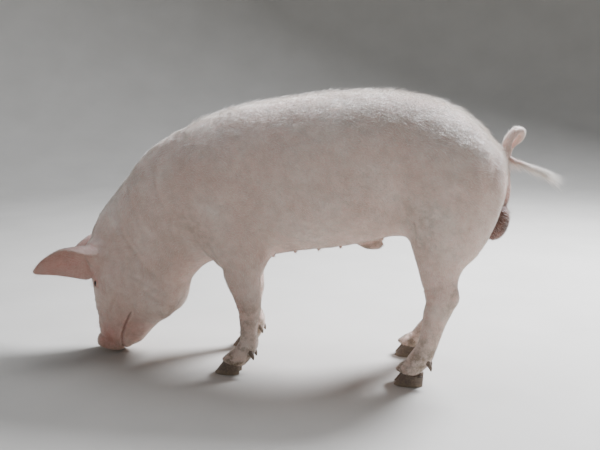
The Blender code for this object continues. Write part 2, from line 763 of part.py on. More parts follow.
def whole_tail():
    """The tail as one tube of evenly spaced stations."""
    rows = smooth_rows(TAIL, 8)
    reach = np.concatenate([[0], np.cumsum(np.linalg.norm(np.diff(rows[:, :3], axis=0), axis=1))])
    places = np.linspace(0, reach[-1], TAIL_STATIONS)
    rows = np.stack([np.interp(places, reach, column) for column in rows.T], axis=1)
    return Loft([(x, y, z, r, r, r, 2.0) for x, y, z, r in rows], (0.0, 0.0), 0.0, 1)


def tail_length(name, start, stop):
    """The tail between two stations, half a gap short of each cut."""
    tube = whole_tail()
    for row, way in ((start, 1), (stop, -1)):
        if 0 < row < TAIL_STATIONS - 1:
            tube.centre[row] += way * GAP / 2 * tube.along[row]
    if stop == TAIL_STATIONS - 1:
        tube.caps = (0.0, 0.006)
    for field in ("centre", "size", "along", "side", "up"):
        setattr(tube, field, getattr(tube, field)[start : stop + 1])
    return object_from(name, *tube.shell(10, (0.7,) if tube.caps[1] else ()))


def tuft_locks(end, along):
    """Flat tapered locks at the end of the tail, fanned a little."""
    rng = np.random.default_rng(TUFT_SEED)
    locks = []
    for i in range(TUFT_LOCKS):
        turn = 2 * math.pi * (i + rng.uniform(-0.2, 0.2)) / TUFT_LOCKS
        across = np.array([-along[2], 0, along[0]])
        side = across * math.cos(turn) + np.array([0, 1.0, 0]) * math.sin(turn)
        length = TUFT_LENGTH * rng.uniform(0.72, 1.05)
        root = end - along * rng.uniform(0.004, 0.022) + side * 0.0022
        flare, droop = rng.uniform(0.005, 0.014), rng.uniform(0.008, 0.030)
        stations = []
        for share in np.linspace(0, 1, 5):
            place = root + along * length * share + side * flare * math.sin(share * 2.6)
            place = place + np.array([0, 0, -droop * share**2])
            width = 0.0042 * (1 - share) ** 0.7 + 0.0008
            stations.append((*place, width, width * 0.55, width * 0.55, 2.0))
        locks.append(object_from("lock", *Loft(stations, (0.001, 0.0008), 0.0, 1).shell(5, ())))
    return locks


def teats(parts):
    """The two rows of small teats along the belly."""
    found = []
    for x in TEATS:
        for side in (LEFT, RIGHT):
            rough = np.array([[x, side * TEAT_TRACK, 0.40]])
            skin = settle(parts, rough)[0]
            down = np.array([0, side * 0.25, -1.0])
            rows = [
                (*(skin + unit(down) * d), r, r, r, 2.0)
                for d, r in (
                    (-0.008, TEAT_RADIUS * 1.5),
                    (0.000, TEAT_RADIUS * 1.3),
                    (TEAT_HEIGHT * 0.5, TEAT_RADIUS),
                    (TEAT_HEIGHT, TEAT_RADIUS * 0.7),
                )
            ]
            found.append(object_from("teat", *Loft(rows, (0.001, 0.002), 0.0, 1).shell(7, ())))
    return found


def material(name, colour, roughness):
    made = bpy.data.materials.new(name)
    made.use_nodes = True
    shader = made.node_tree.nodes["Principled BSDF"]
    shader.inputs["Base Color"].default_value = (*colour, 1)
    shader.inputs["Roughness"].default_value = roughness
    made.diffuse_color = (*colour, 1)
    return made


def cut_flesh(body):
    """The body cut into its named pieces."""
    cutters = [slab(*cut) for cut in CUTS.values()] + [mouth_slit()]
    for side in (LEFT, RIGHT):
        cutters.append(below_coronet(FORE_FOOT, side, lean_at(FORE_LEAN, side, 0.02)))
        cutters.append(below_coronet(HIND_FOOT, side, lean_at(HIND_LEAN, side, 0.02)))
    boolean(body, cutters, "DIFFERENCE")
    pieces = loose_pieces(body)
    remove(body)
    middles = [points.mean(axis=0) for points, _ in pieces]
    flesh = {}
    for name, (x, track, z) in PIECES.items():
        for side in (LEFT, RIGHT) if track else (0,):
            gaps = [np.linalg.norm(middle - (x, side * track, z)) for middle in middles]
            label = f"{name}_{SIDE_NAMES[side]}" if side else name
            flesh[label] = object_from(label, *pieces[int(np.argmin(gaps))])
    return flesh


def scrotum():
    name, (x, track, z), radii, tilt, blend = SCROTUM
    masses = [Mass((x, side * track, z), radii, tilt, blend) for side in (LEFT, RIGHT)]
    thing = blended_mesh("scrotum", masses, 0.007)
    add_modifier(thing, "DECIMATE", ratio=360 / (2 * len(thing.data.polygons)))
    return apply_modifiers(thing)


def seat_all(attachments, flesh, by=GAP):
    """Cuts a seat for each attachment in every piece of flesh that its box meets."""
    for thing in attachments:
        low, high = points_of(thing).min(axis=0), points_of(thing).max(axis=0)
        for piece in flesh:
            points = points_of(piece)
            if (points.min(axis=0) < high).all() and (points.max(axis=0) > low).all():
                before = len(points)
                boolean(piece, [grown(thing, by)], "DIFFERENCE")
                if len(piece.data.vertices) != before:
                    keep_largest(piece)


def faces_of_eyes(parts, head):
    """The lids on the head, the sockets and openings in it, and the eyeballs."""
    lids, openings, eyes = [], [], []
    for side in (LEFT, RIGHT):
        centre, look, long, short = eye_frame(parts, side)
        lid = EYE_RADIUS + LID_THICKNESS
        axes = (long, short, look)
        lids.append(ball("lid", centre, axes, (lid * 1.5, lid * 1.16, lid)))
        openings.append(prism("opening", almond(), look, 0.004, 0.030, centre, (long, short)))
        openings.append(ball("socket", centre, axes, (EYE_RADIUS + GAP,) * 3))
        eyes.append(ball(f"eye_{SIDE_NAMES[side]}", centre, axes, (EYE_RADIUS,) * 3))
    boolean(head, lids, "UNION")
    boolean(head, openings, "DIFFERENCE")
    keep_largest(head)
    return eyes


def nostrils(snout):
    """Two oval openings in the snout's face."""
    apart, wide, deep, reach = NOSTRIL
    cutters = []
    for side in (LEFT, RIGHT):
        outline = []
        for i in range(16):
            turn = 2 * math.pi * i / 16
            outline.append((wide * math.cos(turn), deep * math.sin(turn)))
        into = unit(np.array([0.10, -side * 0.12, 1.0]))
        middle = (SNOUT[-1][0] - 0.002, side * apart, 0.0)
        across = ((0, 1, 0), (1, 0, 0))
        cutters.append(prism("nostril", outline, into, 0.0, 0.014 + reach, middle, across))
    boolean(snout, cutters, "DIFFERENCE")
    keep_largest(snout)


def tail_lengths():
    """The tail's three lengths, with the locks of the tuft on the last."""
    ends = (0, *TAIL_CUTS, TAIL_STATIONS - 1)
    names = ("tail_base", "tail_middle", "tail_tip")
    lengths = [tail_length(*each) for each in zip(names, ends, ends[1:])]
    tube = whole_tail()
    boolean(lengths[2], tuft_locks(tube.centre[-1], tube.along[-2]), "UNION")
    keep_largest(lengths[2])
    return lengths


def finish(thing, look):
    """Triangles, smooth shading with the hard edges kept, and the material."""
    thing.data.materials.clear()
    thing.data.materials.append(look)
    thing.data.shade_smooth()
    thing.data.set_sharp_from_angle(angle=math.radians(50))


def stand_at_origin(things):
    """Moves everything so that its box stands over the origin, on the floor."""
    points = np.vstack([points_of(thing) for thing in things])
    low, high = points.min(axis=0), points.max(axis=0)
    offset = np.array([-(low[0] + high[0]) / 2, -(low[1] + high[1]) / 2, -low[2]])
    for thing in things:
        thing.data.vertices.foreach_set("co", (points_of(thing) + offset).ravel())
        thing.data.update()


def main():
    for thing in list(bpy.data.objects):
        remove(thing)
    parts = body_parts()
    flesh = cut_flesh(whole_body(parts))
    eyes = faces_of_eyes(parts, flesh["head"])
    nostrils(flesh["snout"])
    boolean(flesh["torso"], teats(parts), "UNION")
    keep_largest(flesh["torso"])
    ears = [ear(f"ear_{SIDE_NAMES[side]}", side) for side in (LEFT, RIGHT)]
    tail = tail_lengths()
    claws, dewclaws = [], []
    for side in (LEFT, RIGHT):
        for leg, foot, lean in (("fore", FORE_FOOT, FORE_LEAN), ("hind", HIND_FOOT, HIND_LEAN)):
            for inner, place in ((False, "outer"), (True, "inner")):
                end = f"{leg}_{SIDE_NAMES[side]}_{place}"
                low, high = lean_at(lean, side, 0.02), lean_at(lean, side, 0.08)
                claws.append(claw(f"claw_{end}", foot, side, low, inner))
                dewclaws.append(dewclaw(f"dewclaw_{end}", foot, side, high, inner))
    bag = scrotum()
    everything = [*flesh.values(), bag, *eyes, *ears, *tail, *claws, *dewclaws]
    seat_all([bag], list(flesh.values()), 3 * GAP)
    seat_all([*ears, tail[0], *dewclaws], list(flesh.values()))
    stand_at_origin(everything)
    skin = material("pink skin", (0.72, 0.50, 0.44), 0.6)
    disc = material("snout skin", (0.62, 0.36, 0.32), 0.5)
    dark = material("scrotum skin", (0.36, 0.20, 0.17), 0.6)
    horn = material("claw horn", (0.28, 0.22, 0.17), 0.5)
    wet = material("eye", (0.05, 0.03, 0.02), 0.1)
    for things, look in (([*flesh.values(), *ears, *tail], skin), (claws + dewclaws, horn), (eyes, wet)):
        for thing in things:
            finish(thing, look)
    finish(flesh["snout"], disc)
    finish(bag, dark)


if __name__ == "__main__":
    main()
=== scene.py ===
"""A boar pig, life size, standing with its head lowered, as a still museum model in soft studio light.

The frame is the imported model's: the head is towards -X, the boar's left side towards -Y and the floor
is z = 0, in metres. The tables give X from a line through the middle of the trunk, and every piece is
moved along X by MIDDLE_X once it is made.
"""

import math
from functools import partial

import bmesh
import bpy
import numpy as np
from mathutils import Matrix, Vector
from mathutils.bvhtree import BVHTree


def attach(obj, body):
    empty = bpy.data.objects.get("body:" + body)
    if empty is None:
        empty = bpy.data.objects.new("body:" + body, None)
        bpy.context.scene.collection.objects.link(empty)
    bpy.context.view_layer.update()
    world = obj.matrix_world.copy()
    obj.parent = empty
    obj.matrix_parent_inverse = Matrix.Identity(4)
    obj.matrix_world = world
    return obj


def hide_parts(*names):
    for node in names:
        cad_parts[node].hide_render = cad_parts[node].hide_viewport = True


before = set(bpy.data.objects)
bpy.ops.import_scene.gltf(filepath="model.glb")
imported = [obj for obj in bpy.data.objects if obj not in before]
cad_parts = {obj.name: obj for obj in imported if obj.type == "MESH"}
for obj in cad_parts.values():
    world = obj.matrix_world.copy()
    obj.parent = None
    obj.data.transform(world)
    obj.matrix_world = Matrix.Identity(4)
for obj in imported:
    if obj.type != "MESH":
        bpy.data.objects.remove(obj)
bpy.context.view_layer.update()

MIDDLE_X = 0.0238995552
# The thin cut round an eye and over a claw.
GAP = 0.0003
LEFT, RIGHT = -1, 1
SIDES = {LEFT: "left", RIGHT: "right"}

# Trunk, neck and head: dorsal point (x, z), ventral point (x, z), half width, height of the widest
# line as a share of the depth, fullness of the section (2 is an ellipse).
SPINE = (
    ((0.572, 0.722), (0.564, 0.530), 0.102, 0.50, 2.2),
    ((0.500, 0.797), (0.500, 0.480), 0.148, 0.50, 2.3),
    ((0.400, 0.857), (0.400, 0.462), 0.164, 0.48, 2.4),
    ((0.280, 0.882), (0.285, 0.440), 0.172, 0.46, 2.4),
    ((0.140, 0.877), (0.140, 0.404), 0.183, 0.45, 2.4),
    ((0.000, 0.860), (0.000, 0.383), 0.190, 0.45, 2.4),
    ((-0.130, 0.838), (-0.130, 0.362), 0.186, 0.46, 2.4),
    ((-0.259, 0.799), (-0.235, 0.330), 0.172, 0.48, 2.3),
    ((-0.400, 0.736), (-0.305, 0.310), 0.154, 0.48, 2.2),
    ((-0.516, 0.639), (-0.335, 0.298), 0.141, 0.46, 2.2),
    ((-0.604, 0.556), (-0.360, 0.275), 0.132, 0.44, 2.2),
    ((-0.672, 0.472), (-0.392, 0.235), 0.124, 0.44, 2.2),
    ((-0.697, 0.385), (-0.422, 0.190), 0.114, 0.46, 2.2),
    ((-0.690, 0.300), (-0.449, 0.137), 0.100, 0.50, 2.2),
    ((-0.692, 0.222), (-0.485, 0.094), 0.078, 0.50, 2.3),
    ((-0.697, 0.150), (-0.522, 0.064), 0.060, 0.48, 2.4),
    ((-0.701, 0.095), (-0.552, 0.048), 0.052, 0.48, 2.4),
    ((-0.699, 0.058), (-0.577, 0.036), 0.045, 0.48, 2.4),
)
SPINE_CAPS = (0.06, 0.010)
# The snout's disc, from the groove behind it to its face: x, z, half width, half depth.
SNOUT = (
    (-0.651, 0.056, 0.037, 0.040),
    (-0.6535, 0.044, 0.0455, 0.048),
    (-0.656, 0.030, 0.0475, 0.050),
    (-0.6585, 0.019, 0.0455, 0.0475),
)
SNOUT_CAPS = (0.006, 0.004)
NOSTRIL = (0.0165, 0.0070, 0.0095, 0.016)

# Limbs, from inside the trunk down to the coronet: x, half track, z, half depth, half width.
FORELEG = (
    (-0.165, 0.096, 0.480, 0.070, 0.050),
    (-0.152, 0.112, 0.395, 0.072, 0.056),
    (-0.160, 0.120, 0.315, 0.060, 0.048),
    (-0.149, 0.123, 0.262, 0.047, 0.042),
    (-0.139, 0.126, 0.212, 0.037, 0.037),
    (-0.140, 0.127, 0.180, 0.031, 0.031),
    (-0.141, 0.128, 0.135, 0.027, 0.027),
    (-0.141, 0.129, 0.098, 0.030, 0.031),
    (-0.161, 0.130, 0.064, 0.030, 0.035),
    (-0.192, 0.130, 0.034, 0.032, 0.037),
    (-0.210, 0.130, 0.018, 0.031, 0.036),
)
HINDLEG = (
    (0.480, 0.090, 0.580, 0.090, 0.060),
    (0.468, 0.106, 0.470, 0.098, 0.066),
    (0.449, 0.118, 0.405, 0.084, 0.056),
    (0.444, 0.122, 0.350, 0.063, 0.046),
    (0.448, 0.126, 0.300, 0.051, 0.038),
    (0.450, 0.128, 0.262, 0.046, 0.036),
    (0.437, 0.129, 0.215, 0.039, 0.031),
    (0.426, 0.130, 0.165, 0.032, 0.027),
    (0.414, 0.130, 0.120, 0.030, 0.029),
    (0.400, 0.130, 0.090, 0.033, 0.033),
    (0.375, 0.130, 0.058, 0.031, 0.035),
    (0.353, 0.130, 0.036, 0.032, 0.037),
    (0.337, 0.130, 0.018, 0.031, 0.036),
)
LIMB_CAPS, LIMB_BLEND = (0.10, 0.010), 0.045
# Each foot: x of the toe and of the heel on the floor, x of the dewclaws' roots.
FORE_FOOT = (-0.249, -0.165, -0.142)
HIND_FOOT = (0.317, 0.409, 0.409)
# How the right legs stand off the tables' places in X, at heights in Z. The left legs don't.
FORE_LEAN = ((0.02, -0.008), (0.06, -0.020), (0.12, -0.045), (0.30, -0.045), (0.48, 0.0))
HIND_LEAN = ((0.02, -0.012), (0.06, 0.006), (0.12, 0.008), (0.34, 0.0))
FEET = {"fore": (FORE_FOOT, FORE_LEAN), "hind": (HIND_FOOT, HIND_LEAN)}
# At which heights a leg's lean is read for its claws and its dewclaws.
CLAW_MIDDLE, DEWCLAW_MIDDLE = 0.02, 0.08
# How far each foot is from the middle line, and how high its coronet is in front and behind.
TRACK = 0.130
CORONET_FRONT, CORONET_BACK = 0.049, 0.030
# A claw's outline: share of its length from the toe, share of its width from the cleft.
CLAW_OUTLINE = (
    *((0.00, 0.34), (0.05, 0.58), (0.20, 0.85), (0.45, 1.00), (0.70, 0.98), (0.90, 0.80)),
    *((1.00, 0.48), (0.94, 0.16), (0.75, 0.02), (0.45, 0.00), (0.18, 0.05), (0.04, 0.16)),
)
CLAW_WIDTH, CLEFT = 0.033, 0.006

# Rounded masses: centre (x, half track, z), radii, tilt about the lateral axis in degrees, blend.
PAIRED_MASSES = (
    ("shoulder", (-0.240, 0.096, 0.560), (0.110, 0.082, 0.165), -14, 0.070),
    ("upper arm", (-0.175, 0.104, 0.440), (0.092, 0.070, 0.100), 24, 0.060),
    ("ham", (0.470, 0.092, 0.590), (0.148, 0.096, 0.180), 14, 0.080),
    ("jowl", (-0.486, 0.058, 0.240), (0.080, 0.066, 0.108), -30, 0.060),
    ("cheek", (-0.592, 0.060, 0.262), (0.062, 0.050, 0.085), -18, 0.040),
    ("brow", (-0.664, 0.054, 0.292), (0.026, 0.028, 0.040), -8, 0.026),
    ("hock point", (0.483, 0.128, 0.286), (0.018, 0.016, 0.030), -20, 0.022),
    ("lip", (-0.630, 0.040, 0.092), (0.038, 0.018, 0.040), -12, 0.020),
    ("ear base", (-0.658, 0.084, 0.360), (0.042, 0.034, 0.042), -20, 0.034),
)
SCROTUM = ("testicle", (0.612, 0.029, 0.487), (0.036, 0.032, 0.056), 24, 0.016)
MIDLINE_MASSES = (
    ("chin", (-0.572, 0.0, 0.066), (0.026, 0.031, 0.032), -24, 0.020),
    ("sheath", (0.224, 0.0, 0.410), (0.050, 0.020, 0.027), 10, 0.020),
    ("anus", (0.622, 0.0, 0.640), (0.016, 0.016, 0.020), 0, 0.020),
    ("perineum", (0.614, 0.0, 0.572), (0.036, 0.022, 0.064), 6, 0.030),
)
# Hollows and rises that only bend the surface: centre (x, half track, z), reach, height.
SWELLS = (
    ((0.335, 0.165, 0.560), (0.070, 0.080, 0.110), -0.016),
    ((-0.090, 0.175, 0.500), (0.045, 0.070, 0.120), -0.010),
    ((-0.360, 0.130, 0.520), (0.050, 0.070, 0.130), -0.009),
    ((0.080, 0.190, 0.520), (0.150, 0.080, 0.110), 0.007),
)

# The eye: centre (x, half track, z), radius, lid thickness, the lids' bulge along and across the
# opening as shares of their radius, the way the eye looks, half opening.
EYE_CENTRE = (-0.655, 0.0765, 0.262)
EYE_RADIUS, LID_THICKNESS, LID_BULGE = 0.0125, 0.0022, (1.5, 1.16)
EYE_LOOK = (-0.36, 0.92, -0.10)
EYE_OPENING = (0.0120, 0.0062)

# The ear: way along it from the root, and the way its cup faces. Stations: share of the length,
# half width, half angle of the cup's arc in degrees, thickness, bend towards the facing side.
EAR_ROOT = (-0.650, 0.070, 0.364)
EAR_TIP = (-0.860, 0.130, 0.302)
EAR_FACING = (-0.10, 0.84, -0.52)
# How far the arc's centre stands towards the facing, as a share of the arc's radius.
EAR_SET = 0.7
EAR = (
    (0.00, 0.033, 140, 0.0080, 0.000),
    (0.12, 0.045, 122, 0.0075, 0.002),
    (0.25, 0.059, 96, 0.0065, 0.004),
    (0.38, 0.066, 76, 0.0055, 0.004),
    (0.52, 0.062, 62, 0.0050, 0.002),
    (0.66, 0.051, 52, 0.0045, 0.002),
    (0.79, 0.037, 46, 0.0042, 0.004),
    (0.90, 0.023, 42, 0.0040, 0.008),
    (0.97, 0.012, 40, 0.0036, 0.011),
    (1.00, 0.005, 36, 0.0030, 0.012),
)

# The tail's curve: x, y, z and radius.
TAIL = (
    (0.575, 0.000, 0.666, 0.0170),
    (0.604, -0.001, 0.672, 0.0160),
    (0.621, -0.004, 0.687, 0.0150),
    (0.628, -0.008, 0.707, 0.0143),
    (0.631, -0.010, 0.729, 0.0137),
    (0.641, -0.009, 0.751, 0.0130),
    (0.657, -0.003, 0.767, 0.0119),
    (0.673, 0.006, 0.762, 0.0108),
    (0.669, 0.015, 0.743, 0.0100),
    (0.652, 0.019, 0.727, 0.0094),
    (0.641, 0.020, 0.708, 0.0088),
    (0.639, 0.019, 0.689, 0.0082),
    (0.651, 0.016, 0.676, 0.0074),
    (0.674, 0.012, 0.668, 0.0066),
    (0.705, 0.008, 0.657, 0.0058),
    (0.733, 0.004, 0.647, 0.0051),
)
# Two rows of teats: x of each pair, half track, radius, and each one's profile: height, share of the
# radius.
TEATS = (-0.080, -0.005, 0.070, 0.140, 0.275)
TEAT_TRACK, TEAT_RADIUS = 0.062, 0.0048
TEAT_PROFILE = ((-0.008, 1.7), (-0.001, 1.35), (0.0019, 1.0), (0.0043, 0.95), (0.0059, 0.72))

# The mouth's line, from below the chin to its corner: x and z.
MOUTH = (
    *((-0.602, 0.005), (-0.601, 0.045), (-0.593, 0.080)),
    *((-0.578, 0.115), (-0.558, 0.148), (-0.538, 0.172)),
)

# The skin: voxel size, how deep it lies under the solids on the body and on the face and feet.
SKIN_VOXEL = 0.0068
COAT_DEPTH = (0.0017, 0.0006)
# Creases and folds, as lines on the skin: points (x, half track, z), half width, depth.
FOLDS = (
    (
        ((-0.470, 0.040, 0.680), (-0.430, 0.130, 0.580),
         (-0.378, 0.150, 0.470), (-0.330, 0.090, 0.350)), 0.016, 0.0052,
    ),
    (
        ((-0.600, 0.060, 0.550), (-0.545, 0.120, 0.430),
         (-0.475, 0.120, 0.330), (-0.405, 0.070, 0.245)), 0.010, 0.0054,
    ),
    (((-0.560, 0.050, 0.600), (-0.500, 0.120, 0.500), (-0.440, 0.135, 0.400)), 0.012, 0.0030),
    (((-0.655, 0.015, 0.490), (-0.625, 0.100, 0.465), (-0.575, 0.125, 0.405)), 0.0065, 0.0028),
    (((-0.500, 0.110, 0.270), (-0.455, 0.090, 0.225), (-0.430, 0.040, 0.185)), 0.0070, 0.0032),
    (((-0.525, 0.100, 0.300), (-0.480, 0.110, 0.275), (-0.440, 0.085, 0.240)), 0.0060, 0.0022),
    (((-0.085, 0.170, 0.470), (-0.100, 0.150, 0.410), (-0.122, 0.120, 0.365)), 0.010, 0.0062),
    (((-0.110, 0.165, 0.450), (-0.122, 0.150, 0.400), (-0.140, 0.130, 0.350)), 0.006, 0.0026),
    (((0.312, 0.170, 0.600), (0.335, 0.165, 0.520), (0.352, 0.130, 0.452)), 0.013, 0.0062),
    (((0.348, 0.165, 0.540), (0.366, 0.150, 0.480), (0.378, 0.120, 0.430)), 0.008, 0.0030),
    (((-0.250, 0.140, 0.430), (-0.228, 0.140, 0.365), (-0.200, 0.115, 0.320)), 0.009, 0.0042),
    (((-0.140, 0.170, 0.720), (-0.128, 0.180, 0.600), (-0.130, 0.170, 0.490)), 0.024, 0.0042),
    (((0.545, 0.090, 0.690), (0.556, 0.130, 0.570), (0.530, 0.120, 0.440)), 0.017, 0.0042),
    (((-0.700, 0.002, 0.081), (-0.684, 0.034, 0.078), (-0.655, 0.052, 0.071)), 0.0030, 0.0022),
    (((-0.702, 0.000, 0.096), (-0.688, 0.030, 0.094), (-0.662, 0.050, 0.083)), 0.0032, 0.0017),
    (((-0.702, 0.006, 0.109), (-0.684, 0.040, 0.107), (-0.652, 0.055, 0.094)), 0.0036, 0.0022),
    (((-0.702, 0.000, 0.128), (-0.690, 0.028, 0.127), (-0.672, 0.048, 0.121)), 0.0036, 0.0015),
    (((-0.701, 0.008, 0.143), (-0.682, 0.044, 0.142), (-0.658, 0.056, 0.131)), 0.0042, 0.0020),
    (((-0.700, 0.000, 0.169), (-0.686, 0.036, 0.170), (-0.668, 0.054, 0.166)), 0.0046, 0.0012),
    (((-0.696, 0.010, 0.194), (-0.682, 0.046, 0.192), (-0.664, 0.060, 0.184)), 0.0050, 0.0014),
    (((-0.640, 0.062, 0.180), (-0.664, 0.058, 0.150), (-0.676, 0.046, 0.118)), 0.0046, 0.0016),
    (((-0.634, 0.080, 0.236), (-0.627, 0.086, 0.258), (-0.632, 0.086, 0.284)), 0.0028, 0.0024),
    (((-0.622, 0.082, 0.228), (-0.614, 0.090, 0.256), (-0.620, 0.090, 0.292)), 0.0034, 0.0020),
    (((-0.610, 0.086, 0.236), (-0.600, 0.094, 0.262), (-0.604, 0.094, 0.290)), 0.0036, 0.0012),
    (((-0.678, 0.060, 0.240), (-0.684, 0.060, 0.263), (-0.680, 0.062, 0.290)), 0.0032, 0.0026),
    (((-0.688, 0.040, 0.246), (-0.694, 0.040, 0.268), (-0.690, 0.045, 0.294)), 0.0040, 0.0020),
    (((-0.662, 0.070, 0.226), (-0.648, 0.080, 0.218), (-0.632, 0.086, 0.224)), 0.0028, 0.0016),
    (((-0.630, 0.068, 0.150), (-0.598, 0.090, 0.200), (-0.560, 0.095, 0.262)), 0.0062, 0.0032),
    (((-0.660, 0.050, 0.072), (-0.646, 0.056, 0.115), (-0.632, 0.062, 0.160)), 0.0036, 0.0020),
    (((-0.530, 0.060, 0.172), (-0.515, 0.075, 0.205), (-0.510, 0.080, 0.240)), 0.0050, 0.0028),
    (((0.566, 0.030, 0.715), (0.588, 0.034, 0.680), (0.604, 0.018, 0.650)), 0.0060, 0.0032),
    (((0.590, 0.048, 0.660), (0.606, 0.044, 0.600), (0.604, 0.050, 0.540)), 0.0080, 0.0040),
)
# Creases round the joints of the legs: limb, then x and z in front, x and z behind, half width, depth.
JOINT_CREASES = (
    ("fore", -0.185, 0.228, -0.120, 0.236, 0.0042, 0.0020),
    ("fore", -0.185, 0.212, -0.110, 0.214, 0.0042, 0.0023),
    ("fore", -0.180, 0.196, -0.110, 0.194, 0.0042, 0.0020),
    ("fore", -0.205, 0.080, -0.125, 0.070, 0.0040, 0.0022),
    ("fore", -0.220, 0.064, -0.135, 0.054, 0.0036, 0.0020),
    ("hind", 0.390, 0.300, 0.440, 0.318, 0.0052, 0.0028),
    ("hind", 0.390, 0.282, 0.440, 0.292, 0.0048, 0.0024),
    ("hind", 0.390, 0.264, 0.440, 0.268, 0.0048, 0.0022),
    ("hind", 0.350, 0.078, 0.430, 0.068, 0.0040, 0.0022),
    ("hind", 0.335, 0.062, 0.415, 0.052, 0.0036, 0.0020),
)
# Slow lumps of muscle and fat under the skin: seed, size, height.
LUMPS = ((3, 0.16, 0.0011), (5, 0.045, 0.00040))
# How a seam is smoothed: from and to which share of its reach, how strongly.
SEAM_WEIGHTS = ((0, 0.5, 1.0), (0.5, 0.8, 0.6), (0.8, 1.0, 0.25))
# The closed mouth's groove, half width and depth, and the lips along it: height, how far off, breadth.
MOUTH_GROOVE, LIPS = (0.0026, 0.0065), (0.0024, 0.0085, 0.0060)
# Where the face ends behind and above, and where the legs and the trunk begin.
FACE_END, FACE_TOP, TRUNK_START = -0.50, 0.44, -0.45

# Where the skin is flushed pink, where mud has dried on it and, under the sheath, painted shade
# darkens it, and where it is moist: (x, half track, z), reach, strength.
FLUSHED = (
    ((-0.656, 0.000, 0.030), (0.040, 0.070, 0.045), 1.0),
    ((-0.760, 0.110, 0.325), (0.130, 0.070, 0.080), 0.85),
    ((-0.655, 0.080, 0.262), (0.022, 0.026, 0.028), 0.45),
    ((-0.560, 0.040, 0.100), (0.050, 0.060, 0.070), 0.50),
    ((-0.640, 0.050, 0.075), (0.040, 0.040, 0.040), 0.55),
    ((0.080, 0.000, 0.370), (0.380, 0.110, 0.050), 0.60),
    ((-0.130, 0.080, 0.360), (0.070, 0.050, 0.060), 0.50),
    ((-0.330, 0.000, 0.330), (0.090, 0.090, 0.060), 0.35),
    ((0.420, 0.070, 0.420), (0.110, 0.050, 0.090), 0.55),
    ((0.625, 0.000, 0.600), (0.040, 0.040, 0.100), 0.85),
    ((0.655, 0.010, 0.720), (0.040, 0.040, 0.070), 0.25),
    ((0.450, 0.130, 0.300), (0.050, 0.050, 0.050), 0.45),
    ((-0.170, 0.130, 0.215), (0.040, 0.045, 0.050), 0.45),
)
MUD_AND_SHADE = (
    ((-0.660, 0.000, 0.010), (0.060, 0.070, 0.030), 0.60),
    ((-0.575, 0.000, 0.050), (0.050, 0.050, 0.060), 0.50),
    ((-0.690, 0.020, 0.100), (0.020, 0.060, 0.060), 0.22),
    ((-0.150, 0.130, 0.210), (0.045, 0.050, 0.035), 0.45),
    ((0.475, 0.130, 0.280), (0.040, 0.050, 0.055), 0.55),
    ((-0.120, 0.000, 0.350), (0.180, 0.110, 0.035), 0.40),
    ((0.150, 0.060, 0.400), (0.200, 0.100, 0.030), 0.25),
    # Painted shade under the sheath: a darker brown where the belly's shade falls.
    ((0.226, 0.000, 0.385), (0.050, 0.040, 0.032), 0.75),
    ((0.380, 0.170, 0.500), (0.110, 0.050, 0.090), 0.20),
    ((-0.300, 0.150, 0.450), (0.070, 0.050, 0.080), 0.16),
)
MOIST = (
    ((-0.656, 0.000, 0.012), (0.060, 0.080, 0.022), 1.0),
    ((-0.655, 0.080, 0.262), (0.012, 0.014, 0.018), 0.8),
)

# Dust all over, and the mud of the feet, which fades up the legs so that they are darker towards
# the floor: its top, the height over which it fades, its strength.
DUST, FOOT_MUD_AND_DARKENING = 0.14, (0.23, 0.21, 0.95)

# The ears' ribs inside the cup: place across it as a share of its half width, half breadth, height.
EAR_RIBS = ((0.30, 0.07, 0.0013), (-0.24, 0.06, 0.0011), (-0.62, 0.06, 0.0009))
# The rings round the tail: how far apart, and how far from its root the last one is.
TAIL_RINGS = (0.0105, 0.16)
# How deep the eyeball's middle lies under the skin, and how far round it no bristle grows.
EYE_SINK, EYE_BARE = 0.0082, 0.0145
# A claw's levels: share of its height, how far its front leans back, share of its width. Then the
# growth ridges round it: how far apart and half their height.
CLAW_LEVELS = (
    *((0.00, 0.0026, 0.920), (0.06, 0.0002, 0.995), (0.35, 0.0100, 0.990)),
    *((0.70, 0.0210, 0.970), (1.00, 0.0300, 0.950)),
)
CLAW_RIDGES = (0.0042, 0.0004)
# A dewclaw from its root to its tip: how far back of the root, how far outwards, height, half width.
DEWCLAW = (
    (-0.002, 0.000, 0.092, 0.0085),
    (0.006, 0.002, 0.082, 0.0098),
    (0.013, 0.004, 0.071, 0.0092),
    (0.018, 0.005, 0.061, 0.0068),
    (0.020, 0.005, 0.052, 0.0032),
)

# The coat: bristles over the whole skin, its seed, and the most triangles that one piece may have.
BRISTLES, COAT_SEED, PIECE_TRIANGLES = 234000, 11, 190000
# How its lie, its length and its lift drift: share, size and seed.
LIE_DRIFT, LENGTH_DRIFT, LIFT_DRIFT = (0.34, 0.11, 21), (0.18, 0.05, 22), (0.30, 0.035, 23)
# What stands further off the blended body than this is ear or tail.
OFF_BODY = 0.0045
# Bare undersides of the snout and of the feet: below which height, facing down more than what.
BARE_SNOUT, BARE_SOLES = (0.034, -0.35), (0.052, -0.80)
# How deep a bristle is rooted, and the share of its length below its bend.
ROOT_DEPTH, BEND = 0.0006, 0.36
# Triangles of the plain skin that is unwrapped for the bake map.
PLAIN_TRIANGLES = 7000
# How broad a bristle's patch of the bake map is, and the least height of any hair over the floor.
PATCH, LEAST_HEIGHT = 0.003, 0.0008
# The tail's tuft: hairs, the longest one's length past the tail's end, and its seed.
TUFT_HAIRS, TUFT_LENGTH, TUFT_SEED = 620, 0.092, 7
# Longer hairs along the edges of each ear, and the seed of the face's hairs.
EAR_HAIRS, FACE_SEED = 150, 31
# Feelers: the middle of each group on the lips, the chin, the cheek and the brow.
FEELERS = (
    *((-0.692, 0.030, 0.075), (-0.672, 0.046, 0.110), (-0.600, 0.030, 0.050), (-0.570, 0.024, 0.055)),
    *((-0.640, 0.052, 0.120), (-0.690, 0.050, 0.290), (-0.615, 0.088, 0.235), (-0.560, 0.035, 0.110)),
)

